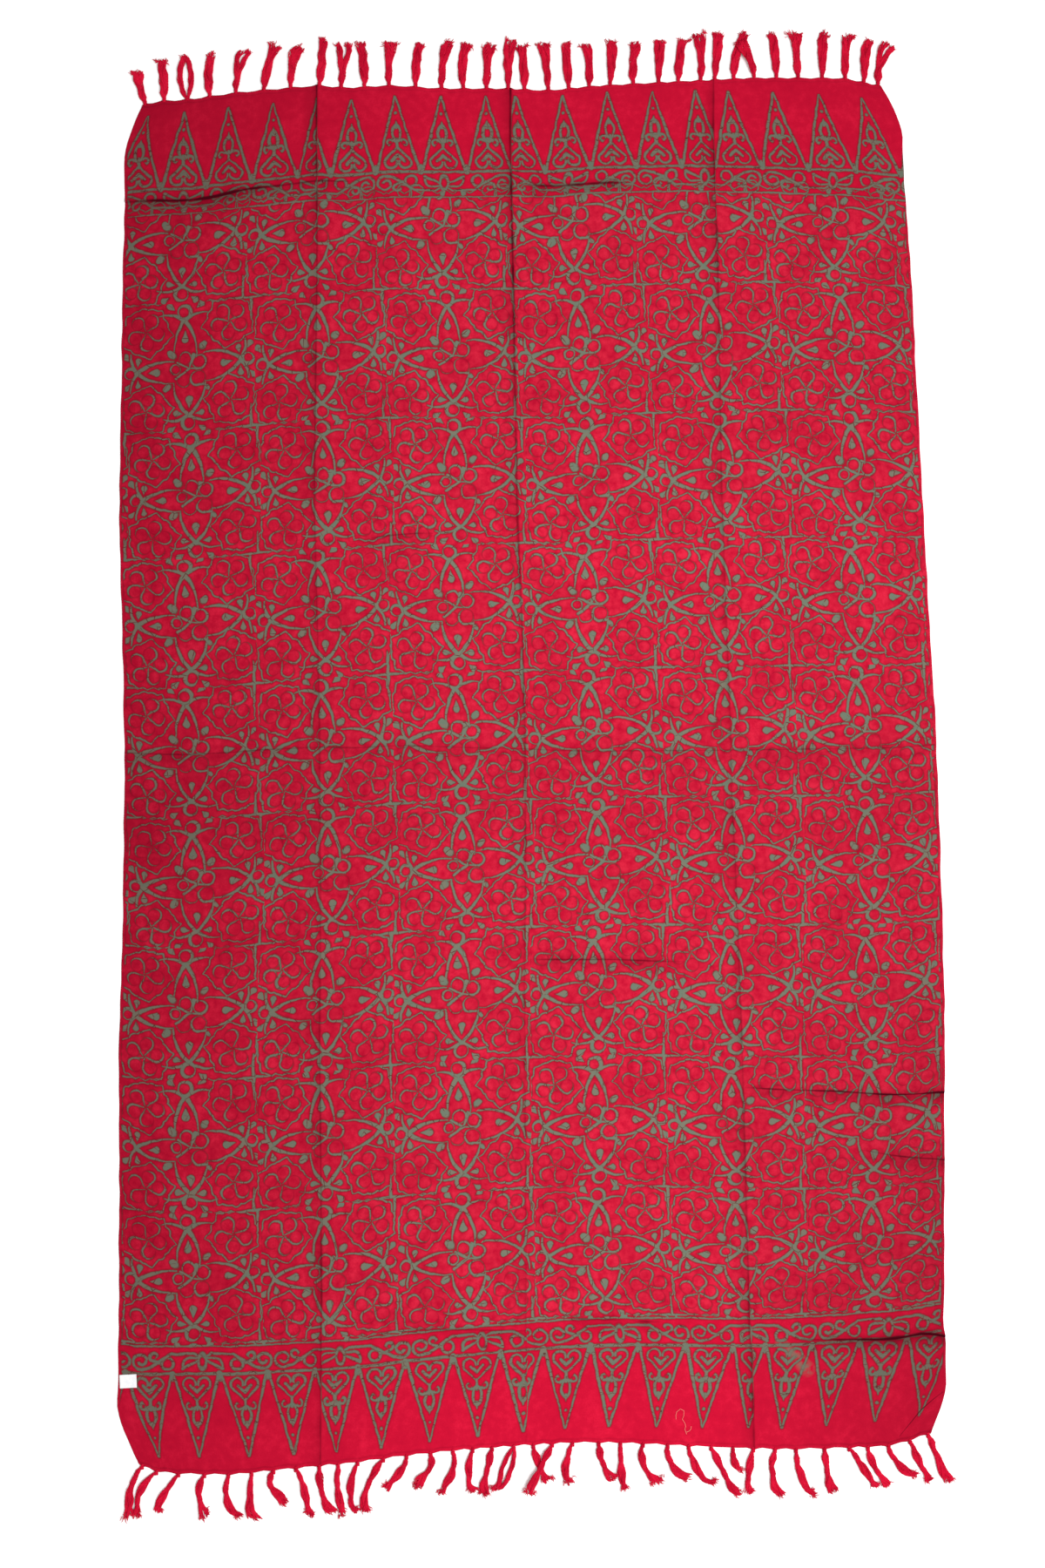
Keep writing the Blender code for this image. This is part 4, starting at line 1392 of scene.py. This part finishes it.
# %% One lock's yarns
YARN_RADIUS = 1.0
YARN_STATIONS = 15
YARN_START = -2.0       # its first station is under the hem
YARN_BASE = 1.4         # height of a yarn over the ground
Yarn = namedtuple("Yarn", "thickness swell")
CORE_YARN = Yarn(1.25, 1.4)
LOOSE_YARN = Yarn(0.5, 2.4)
LOOSE_YARNS = 3         # of each lock
FULL = (1.5, 11.0)      # millimetres from the root: where a lock starts to swell, and is full
LUMP = 0.45
LUMP_LENGTH = 10
WANDER = 1.6
WANDER_LENGTH = 13
HOOKED = (0.78, 1.1)    # shares of the reach where a tip hooks, and where it flares
FLARED = (0.85, 1.02)
AHEAD = 0.03            # and how far on it looks for its way
TWISTS = (1.3, 2.1)     # turns of a lock's yarns
YARN_LENGTHS = (0.93, 1.03)
HOOK_CHANCE = 3
FLARE_CHANCE = 3.2
ROPE_RISE = 1.2         # how far a lock rises where it passes over its neighbour
TWIST_RISE = 0.75       # and a yarn within its lock
yarn_chance = random.Random(11)


def add_yarn(curve, points, widths):
    spline = curve.splines.new("POLY")
    spline.points.add(len(points) - 1)
    for point, place, width in zip(spline.points, points, widths):
        point.co = (*(place * MM), 1.0)
        point.radius = width
    spline.use_smooth = True


def lock_yarns(curve, tassel, style, root, away, place, yarns, hook):
    """The twisted yarns of one lock; place is -0.5 to 0.5 across the tassel."""
    turns = yarn_chance.uniform(*TWISTS) * yarn_chance.choice((-1, 1))
    phase, seed = yarn_chance.random(), yarn_chance.uniform(0, 90)
    hook += yarn_chance.uniform(-HOOK_CHANCE, HOOK_CHANCE)
    for yarn in range(yarns):
        kind = CORE_YARN if yarn < yarns - LOOSE_YARNS else LOOSE_YARN
        length = tassel.reach * yarn_chance.uniform(*YARN_LENGTHS)
        own = yarn / yarns + phase
        flare = yarn_chance.uniform(-FLARE_CHANCE, FLARE_CHANCE)
        points, widths = [], []
        for station in range(YARN_STATIONS):
            share = station / (YARN_STATIONS - 1)
            distance = YARN_START + (length - YARN_START) * share
            along = distance / tassel.reach
            past_root = max(along, 0.0)
            centre = middle_line(tassel, root, away, along)
            ahead = middle_line(tassel, root, away, along + AHEAD)
            forward = (ahead - centre).normalized()
            aside = Vector((forward.y * away, -forward.x * away))
            full = ease(distance, *FULL)
            lump = style.fullness * (1 + LUMP * lumps(distance / LUMP_LENGTH, seed, 0))
            width = (1.0 + kind.swell * full + style.spread * 0.4 * along) * lump
            around = 2 * math.pi * (own + turns * along)
            crook = hook * ease(along, *HOOKED) ** 1.2 + flare * ease(along, *FLARED)
            wander = WANDER * full * lumps(distance / WANDER_LENGTH, tassel.root, 7)
            offset = lock_aside(tassel, style, place, past_root) * style.fullness
            offset += wander + crook
            offset += width * math.cos(around)
            centre += aside * offset
            rise = YARN_BASE + tassel.lift * min(1.0, past_root * 3)
            over = math.sin(rope_turn(tassel, style, along))
            rise += full * (0.6 + ROPE_RISE * place * over)
            rise += TWIST_RISE * (1 + math.sin(around)) * (0.6 + 0.4 * full)
            points.append(Vector((centre.x, centre.y, rise)))
            tip_share = 1 - 0.5 * (share == 1)
            widths.append(kind.thickness * (0.8 + 0.25 * full) * tip_share)
        add_yarn(curve, points, widths)
    return points[-1], (points[-1] - points[-2]).xy.normalized()


print("yarn:", 2 * YARN_RADIUS, "mm across")

# %% Frayed ends and knots
FIBRES = 12             # at the end of each lock
FIBRE_LENGTHS = (2.5, 7.0)
FIBRE_START = 2.5       # how far inside the end of the lock a fibre starts
FIBRE_WIDTHS = (0.6, 0.5, 0.25)
TIE_OUT = 2.6           # how far from the root the tie is, and how high its middle
TIE_HEIGHT = 2.2
TIE_STEPS = 8
TIE_WIDTH = 0.85


def fray(curve, tip, forward):
    """Short loose fibres at the end of a lock."""
    for _ in range(FIBRES):
        turn = yarn_chance.gauss(0, 0.8)
        way = Matrix.Rotation(turn, 2) @ forward
        length = yarn_chance.uniform(*FIBRE_LENGTHS)
        start = tip + Vector((yarn_chance.gauss(0, 1.8), yarn_chance.gauss(0, 1.2), 0))
        start -= Vector((*forward, 0)) * FIBRE_START
        bend = Vector((-way.y, way.x)) * yarn_chance.uniform(-1.5, 1.5)
        middle = start + Vector((*(way * length / 2 + bend), 0.2))
        end = start + Vector((*(way * length), -0.4))
        add_yarn(curve, [start, middle, end], FIBRE_WIDTHS)


def tie(curve, root, away):
    """Three turns of yarn round a tassel's neck, where it is knotted."""
    middle = Vector((root.x, root.y + away * TIE_OUT, TIE_HEIGHT))
    for turn in (-1, 0, 1):
        points = []
        for step in range(TIE_STEPS + 1):
            angle = 2 * math.pi * step / TIE_STEPS
            points.append(middle + Vector((
                2.1 * math.cos(angle), away * turn * 1.5 + 0.5 * math.sin(angle * 2),
                1.25 * math.sin(angle))))
        add_yarn(curve, points, [TIE_WIDTH] * len(points))


print(FIBRES, "fibres at the end of each lock")

# %% Make the two fringes
YARNS = {2: 9, 3: 7}    # of each lock, by how many locks its tassel has
HEM_SHARE = 0.4         # of the hem's pull that a root follows


def yarn_curve(name):
    """A curve to hold the yarns of one piece."""
    curve = bpy.data.curves.new(name, "CURVE")
    curve.dimensions = "3D"
    curve.bevel_depth = YARN_RADIUS * MM
    curve.bevel_resolution = 1
    curve.use_fill_caps = True
    return curve


def piece_of_yarn(curve):
    """A curve's yarns as one mesh piece."""
    holder = placed(curve.name + "_curve", curve)
    bpy.context.view_layer.update()
    mesh = bpy.data.meshes.new_from_object(holder.evaluated_get(
        bpy.context.evaluated_depsgraph_get()))
    bpy.data.objects.remove(holder)
    mesh.name = curve.name
    print(curve.name + ":", len(curve.splines), "yarns,", len(mesh.polygons), "faces")
    return placed(curve.name, mesh)


def make_fringe(name, tassels, style, along, away):
    curve = yarn_curve(name)
    for tassel in tassels:
        root = plain_place(tassel.root, along) + CENTRING
        root.y += away * scallop(tassels, tassel.root) * HEM_SHARE
        hook = style.hook * yarn_chance.uniform(0.2, 1.0) * yarn_chance.choice((1, 1, -1))
        for lock in range(tassel.locks):
            place = lock / (tassel.locks - 1) - 0.5
            tip, forward = lock_yarns(
                curve, tassel, style, root, away, place, YARNS[tassel.locks], hook)
            fray(curve, tip, forward)
        tie(curve, root, away)
    return piece_of_yarn(curve)


head_fringe = make_fringe("head_fringe", HEAD_TASSELS, HEAD_STYLE, CUT_LENGTH, 1)
foot_fringe = make_fringe("foot_fringe", FOOT_TASSELS, FOOT_STYLE, 0, -1)

# %% [markdown]
# ## A loose thread
#
# One bit of undyed sewing thread clings to the cloth near the foot, forked at its lower end. It
# could be painted on, but a real thread casts a shadow, so it is two thin splines, laid on the
# waves of the cloth.

# %% Make the loose thread
LOOSE_THREAD = (
    (744.5, 32.7), (744.1, 38), (745.3, 42.5), (750.4, 46.7), (755, 44.5), (754.8, 38),
    (752.6, 33.5), (756, 28.5), (757.3, 24.5), (756, 20.5), (758.4, 14),
)
THREAD_FORK = ((757.8, 16.6), (761.8, 18.3), (764.3, 21.3), (764.5, 24.7))
THREAD_WIDTH = 0.32
THREAD_LIFT = 0.6


def make_loose_thread():
    curve = yarn_curve("loose_thread")
    for run in (LOOSE_THREAD, THREAD_FORK):
        points = []
        for across, along in run:
            x, y = plain_place(across, along) + CENTRING
            points.append(Vector((x, y, CLOTH_WALL + slack(across, along) + THREAD_LIFT)))
        add_yarn(curve, points, [THREAD_WIDTH] * len(points))
    return piece_of_yarn(curve)


loose_thread = make_loose_thread()

# %% [markdown]
# ## Dyed yarn
#
# The yarn took the same red as the cloth, but it is fuzzy: single fibres catch the light, and
# dark gaps show between them. Modelling each would take millions of faces, so stretched noise
# paints the fibres' highlights and the shade in the gaps into the colour, and gives their bump.
# The thread stayed out of the vat and is plain.

# %% The yarns' finishes
def dyed_yarn():
    yarn = Finish("dyed_yarn")
    place = yarn.scaled(yarn.node("TexCoord").outputs["Object"], 1 / MM)
    clouds = yarn.cloudy(place, 0.05, 2.0)
    fibres = yarn.cloudy(yarn.vector("MULTIPLY", place, (1.6, 0.5, 1.0)), 1.0, 2.0)
    colour = yarn.blend(clouds.fading(0.35, 0.65), srgb(170, 2, 36), srgb(194, 10, 46))
    # painted highlight on the fibres that catch the light
    colour = yarn.blend(fibres.fading(0.75, 0.5) * 0.6, colour, srgb(222, 34, 66))
    # painted shade in the gaps between the fibres
    colour = yarn.blend(fibres.fading(0.25, 0.5) * 0.4, colour, srgb(140, 0, 28))
    yarn.set(yarn.shader, {
        "Base Color": colour,
        "Roughness": 0.8,
        "Normal": yarn.bump(fibres, 0.5, 0.0005),
        "Specular IOR Level": 0.06,
    })
    return yarn.material


yarn_finish = dyed_yarn()
for fringe in (head_fringe, foot_fringe):
    fringe.data.materials.append(yarn_finish)
thread_finish = Finish("undyed_thread")
thread_finish.set(thread_finish.shader, {"Base Color": srgb(232, 128, 116), "Roughness": 0.8})
loose_thread.data.materials.append(thread_finish.material)
print("dyed yarn:", len(yarn_finish.node_tree.nodes), "nodes")

# %% [markdown]
# ## The label
#
# A small white woven tape is folded once and sewn to the cloth near one corner. Here it is left
# bare. It is a thin sheet that lies a little askew, with ends that curl up and a fold line near
# its left end, so it is a small bent grid with a wall, like the panel.

# %% Make the label
LABEL_BASE = 1.5        # the cloth under it, with its seam
LABEL_WALL = 0.7
LABEL_TILT = math.radians(3)
LABEL_RISE = 4.5        # how far towards the head it has been pulled
DRAWN_WIDTH = 0.96      # shares of the plain label's sides, as the tape has shrunk
DRAWN_HEIGHT = 0.93
LABEL_GRID = (24, 20)
END_CURL = 0.5
LABEL_UNEVEN = 0.25
LABEL_LUMP = 6          # millimetres to a lump
FOLD_HEIGHT = 0.5
FOLD_LINE = 2.4         # from the left end
FOLD_WIDTH = 0.7


def make_label():
    bm = bmesh.new()
    bmesh.ops.create_grid(bm, x_segments=LABEL_GRID[0], y_segments=LABEL_GRID[1], size=0.5)
    places = {}
    for vert in bm.verts:
        share_x, share_y = vert.co.x + 0.5, vert.co.y + 0.5
        across = LABEL_LEFT + LABEL_WIDTH * share_x
        along = LABEL_FOOT + LABEL_HEIGHT * share_y
        turned = Matrix.Rotation(LABEL_TILT, 2) @ Vector((
            (share_x - 0.5) * LABEL_WIDTH * DRAWN_WIDTH,
            (share_y - 0.5) * LABEL_HEIGHT * DRAWN_HEIGHT))
        x, y = label_middle + CENTRING + turned + Vector((0, LABEL_RISE))
        curl = END_CURL * (2 * share_x - 1) ** 4
        curl += LABEL_UNEVEN * lumps(across / LABEL_LUMP, along / LABEL_LUMP, 2)
        crease = FOLD_HEIGHT * math.exp(-((across - LABEL_LEFT - FOLD_LINE) / FOLD_WIDTH) ** 2)
        vert.co = Vector((x, y, LABEL_BASE + LABEL_WALL + curl + crease)) * MM
        places[vert] = vert.co.xy
    return smooth_sheet(bm, "sewn_label", places, LABEL_WALL)


label = make_label()
print("label:", len(label.data.polygons), "faces")


# %% The label's finish
def white_tape():
    """Woven ribs one way, over a white that is a little uneven."""
    tape = Finish("white_tape")
    place = tape.scaled(tape.node("TexCoord").outputs["Object"], 1 / MM)
    ribs = tape.cloudy(tape.vector("MULTIPLY", place, (0.5, 3.0, 1.0)), 1.0)
    clouds = tape.cloudy(place, 0.2)
    colour = tape.blend(clouds, srgb(236, 236, 234), srgb(216, 218, 222))
    colour = tape.blend(ribs.fading(0.3, 0.5) * 0.35, colour, srgb(170, 172, 176))
    tape.set(tape.shader, {
        "Base Color": colour, "Roughness": 0.6, "Normal": tape.bump(ribs, 0.4, 0.0003)})
    return tape.material


label.data.materials.append(white_tape())
print("label's finish:", label.data.materials[0].name)

# %% [markdown]
# ## Camera, floor and light
#
# The cloth is seen from almost straight above with a longer lens, from three metres up, a little
# nearer the foot end. One broad soft light, a white world and a white floor keep the print evenly
# lit.

# %% Camera
CAMERA_TILT = math.radians(4.5)
CAMERA_DISTANCE = 2.975
LENS = 50
SENSOR = 36
AIM = Vector((CENTRING.x * MM, CENTRING.y * MM, 0))

camera_data = bpy.data.cameras.new("camera")
camera_data.lens = LENS
camera_data.sensor_fit = "VERTICAL"
camera_data.sensor_height = SENSOR
camera = placed("camera", camera_data)
camera.rotation_euler = (CAMERA_TILT, 0, 0)
camera.location = AIM + CAMERA_DISTANCE * Vector((
    0, -math.sin(CAMERA_TILT), math.cos(CAMERA_TILT)))
bpy.context.scene.camera = camera
print("camera at", [round(part, 4) for part in camera.location])

# %% Floor and light
FLOOR_HALF = 6          # metres
KEY_PLACE = Vector((2.0, -1.0, 4.0))
KEY_SIZE = 2.4
KEY_POWER = 205
WORLD_STRENGTH = 0.63

bm = bmesh.new()
bmesh.ops.create_grid(bm, x_segments=1, y_segments=1, size=FLOOR_HALF)
floor = piece_from(bm, "floor")
floor_finish = Finish("white_floor")
floor_finish.set(floor_finish.shader, {"Base Color": (0.97, 0.97, 0.97, 1), "Roughness": 0.9})
floor.data.materials.append(floor_finish.material)
floor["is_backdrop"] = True

key_data = bpy.data.lights.new("key_light", "AREA")
key_data.shape = "SQUARE"
key_data.size = KEY_SIZE
key_data.energy = KEY_POWER
key_light = placed("key_light", key_data)
key_light.location = KEY_PLACE
key_light.rotation_euler = (-KEY_PLACE).to_track_quat("-Z", "Y").to_euler()

world = bpy.data.worlds.new("studio")
world.use_nodes = True
background = world.node_tree.nodes["Background"]
background.inputs["Color"].default_value = (1, 1, 1, 1)
background.inputs["Strength"].default_value = WORLD_STRENGTH
bpy.context.scene.world = world
bpy.context.scene.view_settings.view_transform = "Standard"
print("stage is set")

# %% [markdown]
# ## Pieces on the body
#
# Each piece rides on the one body of the model, and where it stands for a plain solid, that solid
# is hidden.

# %% Put each piece on the body and hide the plain part it replaces
for piece, node, finish in (
    (panel, "cloth", "cloth"),
    (label, "label", "label"),
    (head_fringe, "fringe_top", "fringe"),
    (foot_fringe, "fringe_bottom", "fringe"),
    (loose_thread, None, "fringe"),
):
    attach(piece, "root")
    if node:
        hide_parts(node)

bpy.context.view_layer.update()
sizes = {"cad": [list(corner) for corner in cad_bounds],
         "visual": [list(corner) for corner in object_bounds()]}
print("visual model:", [[round(edge, 4) for edge in corner] for corner in sizes["visual"]])
